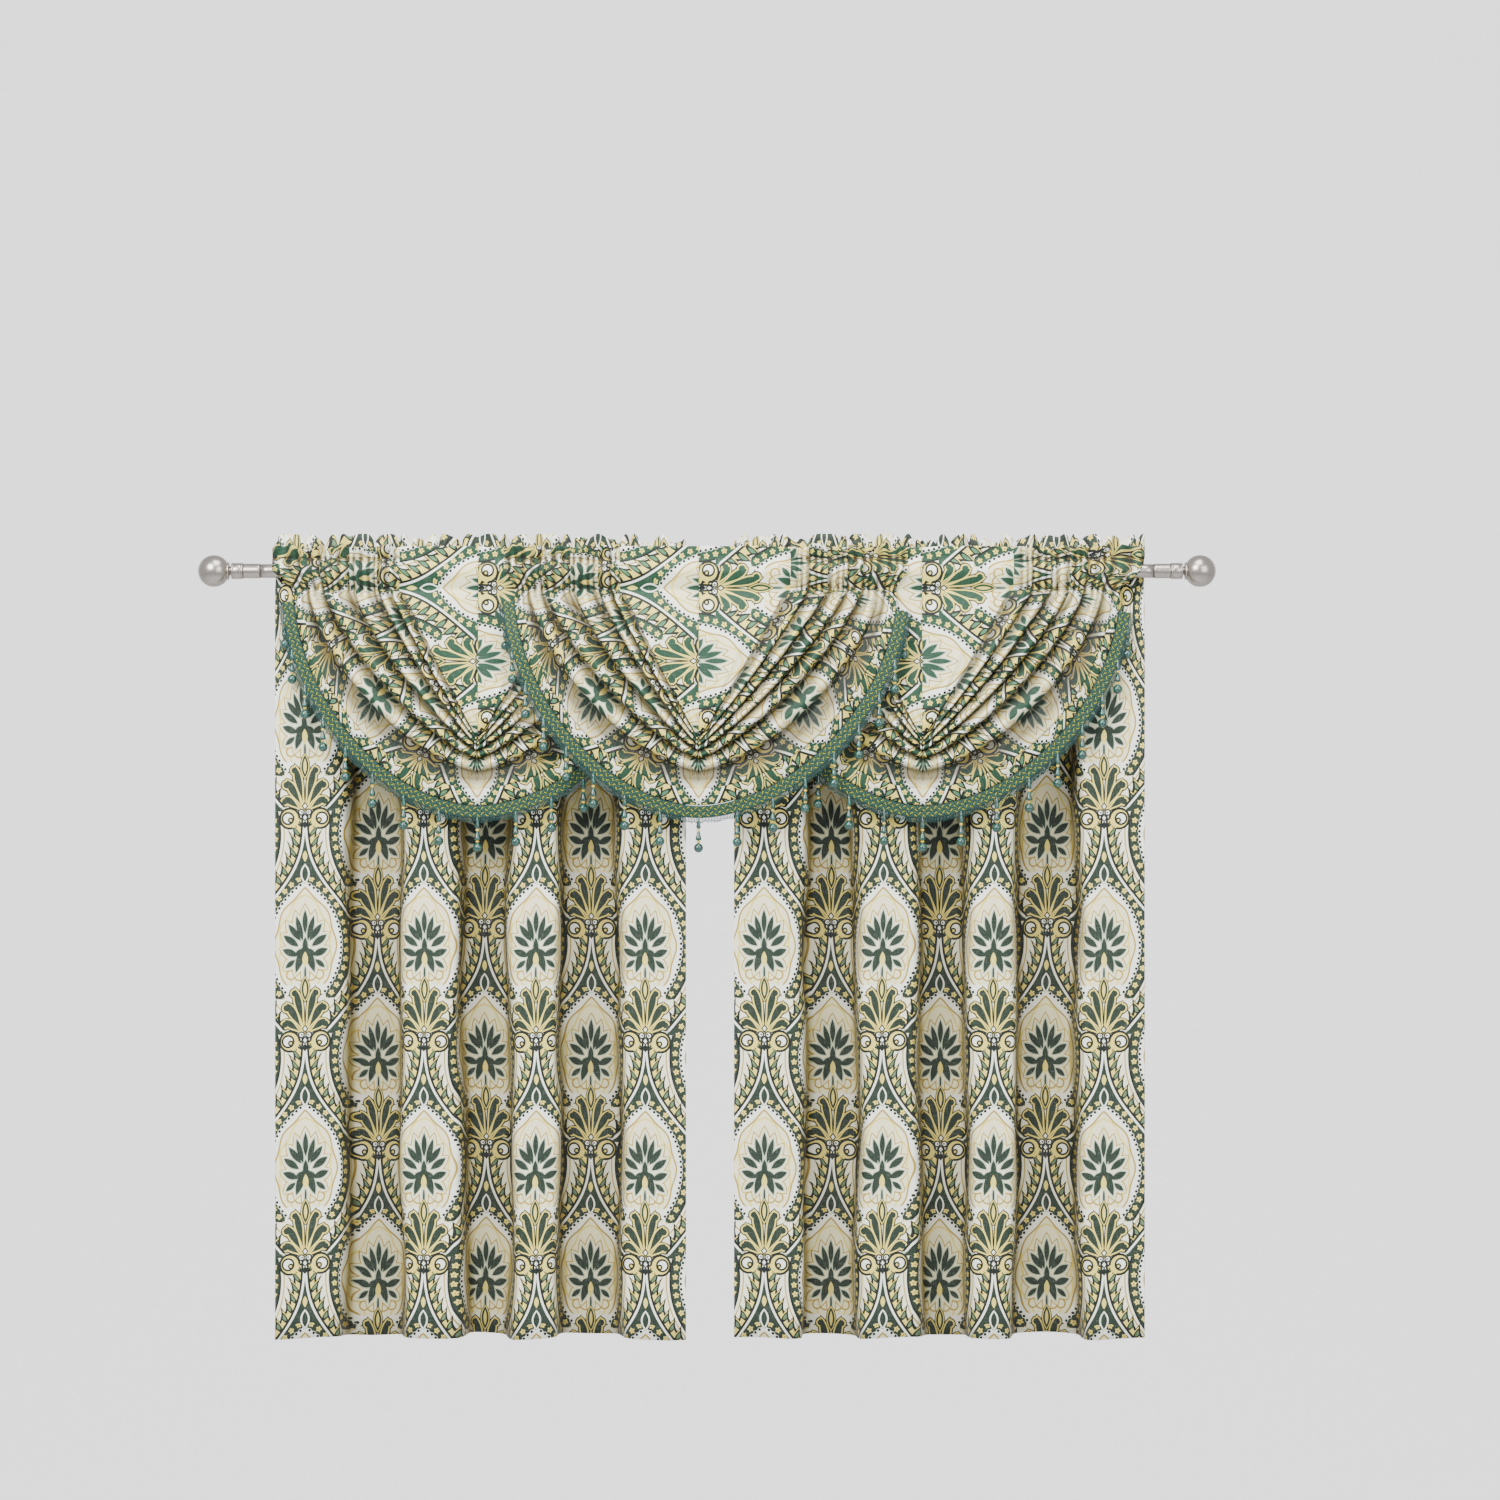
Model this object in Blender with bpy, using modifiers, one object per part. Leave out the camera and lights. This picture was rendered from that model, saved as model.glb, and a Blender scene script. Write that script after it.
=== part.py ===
"""Two rod-pocket curtain panels and three swag valances with beaded trim, gathered on one pole.

Metres, +Z up, +X to the right, +Y towards the wall. The origin is on the pole's axis, midway along it.
Each cloth is one sheet, placed by formula on a grid and thickened. The valances lie in front of the
pole and the panels behind it, and the two stitch lines above and below the pole make its pocket.
"""

import math

import bmesh
import bpy
import numpy as np
from mathutils import Matrix, Vector

MM = 0.001

# The pole and its turned ends
POLE_R = 14 * MM
POLE_END = 893 * MM
SLEEVE_R = 14.8 * MM
SLEEVE_END = 927 * MM
JOIN_GAP = 0.3 * MM
ROUND_STEPS = 20
# Finial profile, from the pole outwards: distance past the sleeve, radius
FINIAL_PROFILE = (
    (0.3, 0.0), (0.3, 16.3), (22.0, 16.3), (24.5, 13.5), (25.0, 8.6), (27.5, 8.6), (29.0, 17.0), (35.0, 21.2),
)
BALL_R = 32 * MM
BALL_CENTRE = 59 * MM
BALL_RINGS = 7

# Heights, from the pole's axis
STITCH_TOP = 24.0 * MM
STITCH_LOW = -38.0 * MM
VALANCE_TOP = 49.0 * MM
PANEL_TOP = 66.0 * MM
PANEL_DROP = 1.600

# Cloth
CLOTH = 1.5 * MM
FACE_GAP = 0.35 * MM
STITCH_OUT = (CLOTH + FACE_GAP) / 2
# A pocket's wall: height and distance out, straight between the two stitch lines and the pole
POCKET_WALL = ((24.0, 0.925), (6.0, 14.9), (-2.2, 16.0), (-38.0, 0.925))

# Panels: each is PANEL_WIDE across, from its left edge
PANEL_WIDE = 0.822
PANEL_LEFT_EDGES = {"panel_left": -0.864, "panel_right": 0.054}
# Where each fold turns back or forward: distance from the left edge, lean at the hem, softness of the turn
PANEL_TURNS = (
    {"at": 0.152, "lean": -0.012, "soft": 0.021},
    {"at": 0.247, "lean": 0.008, "soft": 0.019},
    {"at": 0.365, "lean": 0.014, "soft": 0.021},
    {"at": 0.466, "lean": 0.006, "soft": 0.018},
    {"at": 0.572, "lean": -0.008, "soft": 0.020},
    {"at": 0.684, "lean": 0.010, "soft": 0.023},
)
PANEL_FOLD = 0.042
FOLD_FULL_BELOW = 0.300
PANEL_HEADER_WAVE = 6 * MM
PANEL_COLUMNS = 34
PANEL_ROWS_BELOW = (0.06, 0.14, 0.24, 0.70)

# Valances: where each one's gathered point lies along the pole
VALANCE_CENTRES = {"valance_left": -0.457, "valance_centre": -0.016, "valance_right": 0.430}
# One row for each crest, crease or flat of a swag, from the middle seam out to the trimmed edge.
# left, right: where it leaves the pocket; ruffle: how far it stands out there; belly: halfway down;
# drop and out: how low and how far out it passes the middle; bend: 1 is a straight V, 2 an ellipse.
SWAG_LINES = (
    {"left": 0, "right": 0, "ruffle": 0.5, "belly": 12, "drop": 328, "out": 20, "bend": 1.00},
    {"left": 60, "right": 66, "ruffle": 0.5, "belly": 16, "drop": 330, "out": 22, "bend": 1.00},
    {"left": 118, "right": 132, "ruffle": 2.0, "belly": 22, "drop": 332, "out": 25, "bend": 1.02},
    {"left": 158, "right": 183, "ruffle": 0.0, "belly": 17, "drop": 335, "out": 24, "bend": 1.04},
    {"left": 167, "right": 202, "ruffle": 6.0, "belly": 26, "drop": 338, "out": 31, "bend": 1.06},
    {"left": 177, "right": 220, "ruffle": 0.0, "belly": 19, "drop": 341, "out": 27, "bend": 1.08},
    {"left": 189, "right": 238, "ruffle": 7.0, "belly": 34, "drop": 345, "out": 36, "bend": 1.10},
    {"left": 202, "right": 257, "ruffle": 0.0, "belly": 22, "drop": 349, "out": 31, "bend": 1.12},
    {"left": 228, "right": 276, "ruffle": 7.0, "belly": 40, "drop": 354, "out": 42, "bend": 1.15},
    {"left": 255, "right": 296, "ruffle": 0.0, "belly": 24, "drop": 360, "out": 36, "bend": 1.18},
    {"left": 284, "right": 310, "ruffle": 7.5, "belly": 46, "drop": 367, "out": 50, "bend": 1.22},
    {"left": 310, "right": 325, "ruffle": 0.0, "belly": 26, "drop": 376, "out": 44, "bend": 1.28},
    {"left": 325, "right": 345, "ruffle": 6.5, "belly": 44, "drop": 388, "out": 60, "bend": 1.36},
    {"left": 340, "right": 362, "ruffle": 0.0, "belly": 26, "drop": 402, "out": 41, "bend": 1.48},
    {"left": 354, "right": 379, "ruffle": 4.0, "belly": 38, "drop": 434, "out": 43, "bend": 1.66},
    {"left": 368, "right": 395, "ruffle": 0.0, "belly": 28, "drop": 468, "out": 34, "bend": 1.80},
)
ROWS_DOWN = 8
POCKET_FLARE = {"valance_left": 44 * MM, "valance_centre": 22 * MM, "valance_right": 44 * MM}
HEAD_HEIGHTS = (VALANCE_TOP,) + tuple(height * MM for height, _ in POCKET_WALL)
HEAD_ROWS = len(HEAD_HEIGHTS) - 1

# The middle valance stands in front of the outer two
FRONT_STEP = 2.5 * MM
FRONT_STAND = 26 * MM
FRONT_STAND_BELOW = 0.120
PRESSED_SLOPE = 0.08
COVER_FULL = 1.22
COVER_END = 1.50

# Trim: a woven band on the swag's edge, with bead drops along it
TRIM_WIDE = 24 * MM
TRIM_THICK = 4 * MM
TRIM_GAP = 1.2 * MM
TRIM_START = 0.35
DROP_PITCH = 0.072
DROP_SIDES = 4
DROP_ROOT = 3 * MM
# Bead drop profile: distance below the band's edge, radius
DROP_PROFILE = (
    (-3.0, 0.0), (-3.0, 1.6), (24.0, 4.0), (27.5, 1.5), (46.0, 5.6), (50.0, 1.8), (59.0, 9.5), (66.0, 9.5),
    (73.0, 4.0), (73.0, 0.0),
)
# Drops are left off where the middle swag lies over them, up to this far out
COVERED_DROPS = 1.06
# The ball bead rests on the cloth behind it: its depth on the drop, and its centre's distance out
BALL_DEPTH = 62.5 * MM
BALL_CLEAR = {"valance_left": 11 * MM, "valance_centre": 24 * MM, "valance_right": 11 * MM}


def srgb(red, green, blue):
    """The linear colour of an sRGB one given from 0 to 255."""
    return tuple(((c / 255 + 0.055) / 1.055) ** 2.4 for c in (red, green, blue)) + (1.0,)


def material(name, colour, roughness, metallic=0.0):
    made = bpy.data.materials.new(name)
    made.use_nodes = True
    shader = made.node_tree.nodes["Principled BSDF"]
    shader.inputs["Base Color"].default_value = colour
    shader.inputs["Roughness"].default_value = roughness
    shader.inputs["Metallic"].default_value = metallic
    return made


def smooth_step(x):
    x = min(max(x, 0.0), 1.0)
    return x * x * (3 - 2 * x)


def pocket_out(z):
    """How far a pocket's wall stands from the pole's axis plane at a height."""
    heights, outs = zip(*reversed(POCKET_WALL))
    return float(np.interp(z / MM, heights, outs)) * MM


def ruffle_share(z):
    """How much of a gather shows at a height in the pocket and header: none along the two stitch lines."""
    if z > STITCH_TOP:
        return smooth_step((z - STITCH_TOP) / (VALANCE_TOP - STITCH_TOP))
    across = (z - STITCH_LOW) / (STITCH_TOP - STITCH_LOW)
    return 0.7 * math.sin(math.pi * min(max(across, 0.0), 1.0))


def swag_row(column, side):
    """The table's row at a column, which may fall between two rows, in metres."""
    low = min(int(column), len(SWAG_LINES) - 2)
    share = column - low
    first, second = SWAG_LINES[low], SWAG_LINES[low + 1]
    keys = {"away": side, "ruffle": "ruffle", "belly": "belly", "drop": "drop", "out": "out"}
    turn = smooth_step(share)
    row = {}
    for name, key in keys.items():
        weight = share if name in ("away", "drop") else turn
        row[name] = (first[key] + (second[key] - first[key]) * weight) * MM
    row["bend"] = first["bend"] + (second["bend"] - first["bend"]) * share
    return row


def swag_point(column, down, side):
    """A point of the swag from the pocket (down 0) to its middle (down 1): along, height, out.

    Each line is a quarter of a superellipse from the pocket to the middle.
    """
    row = swag_row(column, side)
    angle = down * math.pi / 2
    power = 2 / row["bend"]
    along = row["away"] * max(math.cos(angle), 0.0) ** power
    height = STITCH_LOW - (row["drop"] + STITCH_LOW) * math.sin(angle) ** power
    start = STITCH_OUT + row["ruffle"] * 0.6 * smooth_step(down * 6) * (1 - down)
    middle = 4 * down * (1 - down)
    out = start * (1 - down) ** 2 + row["belly"] * middle + row["out"] * down * down
    return along, height, out


def trim_level(x, z):
    """How far out a place is on the middle swag: under 1 inside its trimmed edge, over 1 outside."""
    edge = SWAG_LINES[-1]
    away = x - VALANCE_CENTRES["valance_centre"]
    half = edge["left" if away < 0 else "right"] * MM
    fall = max(STITCH_LOW - z, 0.0)
    return (abs(away) / half) ** edge["bend"] + (fall / (edge["drop"] * MM + STITCH_LOW)) ** edge["bend"]


def cover(x, z):
    """1 where the middle swag and its trim lie over the others, 0 well outside."""
    return smooth_step((COVER_END - trim_level(x, z)) / (COVER_END - COVER_FULL))


def settled_out(name, x, z, out):
    """The middle swag stands forward of the others, which lie flat where it covers them."""
    fall = max(STITCH_LOW - z, 0.0)
    if name == "valance_centre":
        return out + FRONT_STEP + FRONT_STAND * smooth_step(fall / FRONT_STAND_BELOW)
    pressed = min(out, STITCH_OUT + PRESSED_SLOPE * fall)
    return out + (pressed - out) * cover(x, z)


def head_point(name, column, height, side):
    """A point of the pocket or header at a height above the lower stitches: along, out."""
    row = swag_row(column, side)
    outermost = column / (len(SWAG_LINES) - 1)
    rise = (height - STITCH_LOW) / (VALANCE_TOP - STITCH_LOW)
    along = row["away"] + POCKET_FLARE[name] * smooth_step(rise * 2) * outermost**6
    out = pocket_out(height) + (FRONT_STEP if name == "valance_centre" else 0.0)
    sign = -1 if side == "left" else 1
    x = VALANCE_CENTRES[name] + sign * along
    ruffle = row["ruffle"] * ruffle_share(height)
    if name != "valance_centre":
        ruffle *= 1 - cover(x, STITCH_LOW)
    return along, out + ruffle


def valance_point(name, across, down):
    """A place on a valance: across 0 to 1 is seam to edge, down 0 to 1 is left header, middle, right header."""
    column = across * (len(SWAG_LINES) - 1)
    steps = HEAD_ROWS + ROWS_DOWN
    row = down * 2 * steps
    side = "left" if row <= steps else "right"
    sign = -1 if side == "left" else 1
    row = min(row, 2 * steps - row)
    if row < HEAD_ROWS:
        height = HEAD_HEIGHTS[round(row)]
        along, out = head_point(name, column, height, side)
        top = height == VALANCE_TOP
        if top:
            height += 4 * MM * math.sin(column * 2.9) - 3 * MM * (name != "valance_centre")
        return Vector((VALANCE_CENTRES[name] + sign * along, -out, height))
    along, height, out = swag_point(column, (row - HEAD_ROWS) / ROWS_DOWN, side)
    x = VALANCE_CENTRES[name] + sign * along
    return Vector((x, -settled_out(name, x, height, out), height))


def panel_point(left_edge, across, height):
    """A place on a panel: flat at the lower stitches, in full folds below, round the pole's back above."""
    x = across * PANEL_WIDE
    if height >= STITCH_LOW:
        wave = 0.5 - 0.5 * math.cos(across * PANEL_COLUMNS * math.pi)
        out = pocket_out(height) + PANEL_HEADER_WAVE * wave * ruffle_share(height)
        lift = 5 * MM * math.sin(across * 61) if height == PANEL_TOP else 0.0
        return Vector((left_edge + x, out, height + lift))
    fall = STITCH_LOW - height
    hang = fall / (PANEL_DROP - PANEL_TOP + STITCH_LOW)
    fold = 1.0
    for i, turn in enumerate(PANEL_TURNS):
        at = turn["at"] + turn["lean"] * hang
        fold += (-1 if i % 2 == 0 else 1) * (1 + math.tanh((x - at) / turn["soft"]))
    depth = PANEL_FOLD * smooth_step(fall / FOLD_FULL_BELOW)
    return Vector((left_edge + x, STITCH_OUT + depth * (1 - fold), height))


def cloth_sheet(name, columns, rows, place, cloth_material, collection):
    """A sheet of cloth: a grid whose points the place function sets, thickened, its coincident seam welded."""
    bpy.ops.mesh.primitive_grid_add(x_subdivisions=columns, y_subdivisions=rows, size=1)
    sheet = bpy.context.object
    sheet.name = name
    for vertex in sheet.data.vertices:
        vertex.co = place(vertex.co.x + 0.5, vertex.co.y + 0.5)
    mesh = bmesh.new()
    mesh.from_mesh(sheet.data)
    bmesh.ops.remove_doubles(mesh, verts=mesh.verts, dist=0.01 * MM)
    mesh.to_mesh(sheet.data)
    mesh.free()
    thick = sheet.modifiers.new("cloth_thickness", "SOLIDIFY")
    thick.thickness = CLOTH
    thick.offset = 0
    return finish(sheet, cloth_material, collection)


def finish(piece, piece_material, collection):
    """Gives a piece its material and smooth shading, and moves it into the model's collection."""
    piece.data.materials.append(piece_material)
    piece.data.shade_smooth()
    piece.data.set_sharp_from_angle(angle=math.radians(40))
    for held in list(piece.users_collection):
        held.objects.unlink(piece)
    collection.objects.link(piece)
    return piece


def turned(name, profile, steps, collection):
    """A solid turned about Z from pairs of height and radius, lowest first, that start and end on the axis."""
    points = [(radius, 0, height) for height, radius in reversed(profile)]
    data = bpy.data.meshes.new(name)
    data.from_pydata(points, [(i, i + 1) for i in range(len(points) - 1)], [])
    piece = bpy.data.objects.new(name, data)
    collection.objects.link(piece)
    turn = piece.modifiers.new("turn", "SCREW")
    turn.steps = steps
    turn.render_steps = steps
    turn.use_merge_vertices = True
    turn.merge_threshold = 0.01 * MM
    return piece


def tube_along_x(name, low, high, radius, piece_material, collection):
    bpy.ops.mesh.primitive_cylinder_add(
        vertices=ROUND_STEPS, radius=radius, depth=high - low,
        location=((low + high) / 2, 0, 0), rotation=(0, math.pi / 2, 0),
    )
    tube = bpy.context.object
    tube.name = name
    return finish(tube, piece_material, collection)


def finial(name, sign, metal, collection):
    """The cap, neck and ball at one end of the pole, turned about the pole's axis."""
    profile = [(distance * MM, radius * MM) for distance, radius in FINIAL_PROFILE]
    first = math.asin(profile[-1][1] / BALL_R)
    for i in range(1, BALL_RINGS + 1):
        angle = first + (math.pi - first) * i / BALL_RINGS
        profile.append((BALL_CENTRE - BALL_R * math.cos(angle), BALL_R * math.sin(angle)))
    piece = turned(name, profile, ROUND_STEPS, collection)
    piece.rotation_euler = (0, sign * math.pi / 2, 0)
    piece.location = (sign * SLEEVE_END, 0, 0)
    return finish(piece, metal, collection)


def edge_frame(name, down):
    """A place on a valance's lower edge, and the direction in the wall's plane that points off the cloth."""
    at = valance_point(name, 1.0, down)
    step = 0.004
    before = valance_point(name, 1.0, down - step)
    after = valance_point(name, 1.0, down + step)
    run = after - before
    off = Vector((run.z, 0, -run.x)).normalized()
    middle = Vector((VALANCE_CENTRES[name], at.y, STITCH_LOW))
    if off.dot(at - middle) < 0:
        off.negate()
    return at, off


def edge_downs(name, step):
    """Places along a valance's edge, evenly apart by step, from the middle outwards on both sides."""
    start = (HEAD_ROWS + TRIM_START) / (2 * (HEAD_ROWS + ROWS_DOWN))
    downs = np.linspace(start, 1 - start, 401)
    points = np.array([valance_point(name, 1.0, down) for down in downs])
    run = np.concatenate([[0], np.cumsum(np.linalg.norm(np.diff(points, axis=0), axis=1))])
    middle = np.interp(0.5, downs, run)
    each_way = int(middle / step)
    return [float(np.interp(middle + step * i, run, downs)) for i in range(-each_way, each_way + 1)]


def bead_drops(name, collection):
    """The bead drops of one valance in one mesh: a long bead, a bell bead and a ball on each."""
    profile = [(depth * -MM, radius * MM) for depth, radius in reversed(DROP_PROFILE)]
    drop = turned("drop", profile, DROP_SIDES, collection)
    shape = bpy.data.meshes.new_from_object(drop.evaluated_get(bpy.context.evaluated_depsgraph_get()))
    bpy.data.objects.remove(drop)
    joined = bmesh.new()
    for down in edge_downs(name, DROP_PITCH):
        at, off = edge_frame(name, down)
        if name != "valance_centre" and trim_level(at.x, at.z) < COVERED_DROPS:
            continue
        root = at + off * (TRIM_WIDE - DROP_ROOT)
        lean = Matrix.Identity(4)
        lean[1][2] = max(0.0, root.y + BALL_CLEAR[name]) / BALL_DEPTH
        placed = shape.copy()
        placed.transform(Matrix.Translation(root) @ lean)
        joined.from_mesh(placed)
        bpy.data.meshes.remove(placed)
    data = bpy.data.meshes.new(f"{name}_drops")
    joined.to_mesh(data)
    joined.free()
    drops = bpy.data.objects.new(f"{name}_drops", data)
    drops.hide_render = True
    drops.display_type = "WIRE"
    collection.objects.link(drops)
    return drops


def trim(name, trim_name, thread, collection, cutters):
    """The band along a valance's edge, with its bead drops joined on."""
    start = (HEAD_ROWS + TRIM_START) / (2 * (HEAD_ROWS + ROWS_DOWN))
    bpy.ops.mesh.primitive_grid_add(x_subdivisions=1, y_subdivisions=4 * ROWS_DOWN, size=1)
    band = bpy.context.object
    band.name = trim_name
    for vertex in band.data.vertices:
        at, off = edge_frame(name, start + (1 - 2 * start) * (vertex.co.y + 0.5))
        vertex.co = at + off * (TRIM_GAP + TRIM_WIDE * (vertex.co.x + 0.5))
    thick = band.modifiers.new("band_thickness", "SOLIDIFY")
    thick.thickness = TRIM_THICK
    thick.offset = 0
    join = band.modifiers.new("bead_drops", "BOOLEAN")
    join.operation = "UNION"
    join.object = bead_drops(name, cutters)
    return finish(band, thread, collection)


def main():
    for old in list(bpy.data.objects):
        bpy.data.objects.remove(old)
    model = bpy.data.collections.new("curtains_with_valance")
    cutters = bpy.data.collections.new("cutters")
    bpy.context.scene.collection.children.link(model)
    bpy.context.scene.collection.children.link(cutters)
    damask = material("damask", srgb(206, 200, 170), 0.75)
    thread = material("trim_thread", srgb(62, 128, 104), 0.7)
    steel = material("brushed_metal", srgb(176, 170, 164), 0.32, 1.0)

    tube_along_x("pole", -POLE_END, POLE_END, POLE_R, steel, model)
    for side, sign in (("left", -1), ("right", 1)):
        ends = sorted((sign * (POLE_END + JOIN_GAP), sign * SLEEVE_END))
        tube_along_x(f"sleeve_{side}", ends[0], ends[1], SLEEVE_R, steel, model)
        finial(f"finial_{side}", sign, steel, model)

    heights = (PANEL_TOP,) + HEAD_HEIGHTS[1:]
    heights += tuple(STITCH_LOW - below for below in PANEL_ROWS_BELOW) + (PANEL_TOP - PANEL_DROP,)
    for name, left_edge in PANEL_LEFT_EDGES.items():
        def place(across, down, left_edge=left_edge):
            return panel_point(left_edge, across, heights[round(down * (len(heights) - 1))])
        cloth_sheet(name, PANEL_COLUMNS, len(heights) - 1, place, damask, model)

    for name in VALANCE_CENTRES:
        def place(across, down, name=name):
            return valance_point(name, across, down)
        cloth_sheet(name, len(SWAG_LINES) - 1, 2 * (HEAD_ROWS + ROWS_DOWN), place, damask, model)
        trim(name, name.replace("valance", "trim"), thread, model, cutters)


main()
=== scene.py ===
import math

import bpy
import numpy as np
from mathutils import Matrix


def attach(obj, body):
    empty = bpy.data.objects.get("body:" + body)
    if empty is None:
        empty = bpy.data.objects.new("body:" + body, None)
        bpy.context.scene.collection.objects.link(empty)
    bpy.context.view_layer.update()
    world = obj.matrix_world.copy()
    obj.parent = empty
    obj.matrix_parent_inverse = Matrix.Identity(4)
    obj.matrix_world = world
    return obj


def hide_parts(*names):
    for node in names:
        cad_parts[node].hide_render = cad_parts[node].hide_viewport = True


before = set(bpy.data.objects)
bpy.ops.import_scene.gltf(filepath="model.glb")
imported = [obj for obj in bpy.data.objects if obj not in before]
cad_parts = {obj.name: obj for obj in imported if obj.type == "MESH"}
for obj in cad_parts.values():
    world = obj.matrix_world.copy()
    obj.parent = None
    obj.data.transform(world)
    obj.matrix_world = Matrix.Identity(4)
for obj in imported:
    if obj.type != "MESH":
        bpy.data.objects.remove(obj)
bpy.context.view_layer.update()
MM = 0.001


# ---- The pole ----
# One steel tube across the window, 28 mm thick, brushed along its length and nickel plated. It is drawn
# as a turned surface: a radius for each place along the tube, carried round its axis.

POLE_R = 14 * MM
POLE_END = 893 * MM
NICKEL = (168, 160, 153)


def linear(red, green, blue):
    """A shader colour from sRGB levels of 0 to 255: each level to the power of the sRGB curve."""
    return tuple(((level / 255 + 0.055) / 1.055) ** 2.4 for level in (red, green, blue)) + (1.0,)


class Wire:
    """A socket of a material's node tree. Arithmetic on it adds Math nodes, and node() adds any other."""

    def __init__(self, socket):
        self.socket = socket
        self.tree = socket.id_data

    def node(self, kind, settings, inputs, output=0):
        """A node of any kind: its settings first, then the values or links of its sockets."""
        made = self.tree.nodes.new("ShaderNode" + kind)
        for name, value in settings.items():
            setattr(made, name, value)
        for key, value in inputs.items():
            if isinstance(value, Wire):
                self.tree.links.new(value.socket, made.inputs[key])
            else:
                made.inputs[key].default_value = value
        return Wire(made.outputs[output])

    def math(self, operation, *values, clamp=False):
        return self.node("Math", {"operation": operation, "use_clamp": clamp}, dict(enumerate(values)))

    def __add__(self, other):
        return self.math("ADD", self, other)

    def __radd__(self, other):
        return self.math("ADD", other, self)

    def __sub__(self, other):
        return self.math("SUBTRACT", self, other)

    def __rsub__(self, other):
        return self.math("SUBTRACT", other, self)

    def __mul__(self, other):
        return self.math("MULTIPLY", self, other)

    def __rmul__(self, other):
        return self.math("MULTIPLY", other, self)

    def __truediv__(self, other):
        return self.math("DIVIDE", self, other)

    def __abs__(self):
        return self.of("ABSOLUTE")

    def __lt__(self, other):
        return self.math("LESS_THAN", self, other)

    def __gt__(self, other):
        return self.math("GREATER_THAN", self, other)

    def under(self, edge, soft=0.5):
        """1 where the value is under the edge, 0 where it is over, with a ramp as wide as soft."""
        return self.math("MULTIPLY_ADD", self, -1 / soft, edge / soft + 0.5, clamp=True)

    def least(self, other):
        return self.math("MINIMUM", self, other)

    def most(self, other):
        return self.math("MAXIMUM", self, other)

    def of(self, operation):
        """A Math operation that takes this wire alone."""
        return self.math(operation, self)

    def stretched(self, scale):
        """This place with its three axes scaled."""
        return self.node("Mapping", {}, {"Vector": self, "Scale": scale})

    def noise(self, scale, detail=0.0):
        """Noise at this place, 0 to 1 and mostly near a half."""
        return self.node("TexNoise", {}, {"Vector": self, "Scale": scale, "Detail": detail})

    def bump(self, strength, distance):
        """A normal bumped by this wire as its height."""
        return self.node("Bump", {}, {"Strength": strength, "Distance": distance, "Height": self})

    def paint(self, under_coat, colour):
        """The under coat with the colour laid over it where this mask is 1."""
        return self.node("Mix", {"data_type": "RGBA"}, {0: self, 6: under_coat, 7: colour}, 2)


def new_material(name, constants):
    """A Principled material with its constant sockets set; also its shader and its Texture Coordinate."""
    made = bpy.data.materials.new(name)
    made.use_nodes = True
    shader = made.node_tree.nodes["Principled BSDF"]
    for socket, value in constants.items():
        shader.inputs[socket].default_value = value
    coordinates = made.node_tree.nodes.new("ShaderNodeTexCoord")
    return made, shader, coordinates


def connect(shader, sockets):
    """Links wires to a shader's sockets by name."""
    for name, wire in sockets.items():
        wire.tree.links.new(wire.socket, shader.inputs[name])


def nickel_material():
    """Brushed nickel: noise stretched along the tube varies its roughness, its tone and its bump."""
    made, shader, coordinates = new_material(
        "brushed_nickel", {"Metallic": 1.0, "Roughness": 0.3, "Base Color": linear(*NICKEL)}
    )
    place = Wire(coordinates.outputs["Object"])
    grain = place.stretched((9, 900, 900)).noise(1.0, detail=1.0)
    tone = grain.paint(linear(146, 138, 131), linear(190, 183, 176))
    connect(shader, {"Base Color": tone, "Roughness": grain * 0.16 + 0.2, "Normal": grain.bump(0.06, 0.0002)})
    return made


def turned(name, along, radii, steps=72):
    """A surface turned about X: point = (along, radius cos a, radius sin a), with a cap point at each end."""
    angles = np.linspace(0, 2 * np.pi, steps, endpoint=False)
    round_x = radii[:, None]
    points = np.stack(
        [np.repeat(along[:, None], steps, 1), round_x * np.cos(angles), round_x * np.sin(angles)], axis=-1
    )
    vertices = np.concatenate([points.reshape(-1, 3), points[0].mean(0)[None], points[-1].mean(0)[None]])
    quads = ring_faces(1, len(along), steps)[0]
    ring = np.arange(steps)
    after = (ring + 1) % steps
    last_ring = (len(along) - 1) * steps
    centre = len(along) * steps
    first = np.stack([np.full(steps, centre), after, ring], axis=-1)
    last = np.stack([np.full(steps, centre + 1), last_ring + ring, last_ring + after], axis=-1)
    return mesh_object(name, vertices, [quads, first, last])


def ring_faces(strands, levels, sides):
    """Faces of strands whose points run ring by ring: the quads, then the caps of the first and last rings."""
    counts = (strands, levels - 1, sides)
    strand, level, side = np.meshgrid(*(np.arange(count) for count in counts), indexing="ij")
    base = (strand * levels + level) * sides
    after = (side + 1) % sides
    quads = np.stack([base + side, base + after, base + sides + after, base + sides + side], axis=-1)
    ends = np.arange(strands)[:, None] * levels * sides + np.arange(sides)[None, :]
    return [quads.reshape(-1, 4), ends[:, ::-1], ends + (levels - 1) * sides]


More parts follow.
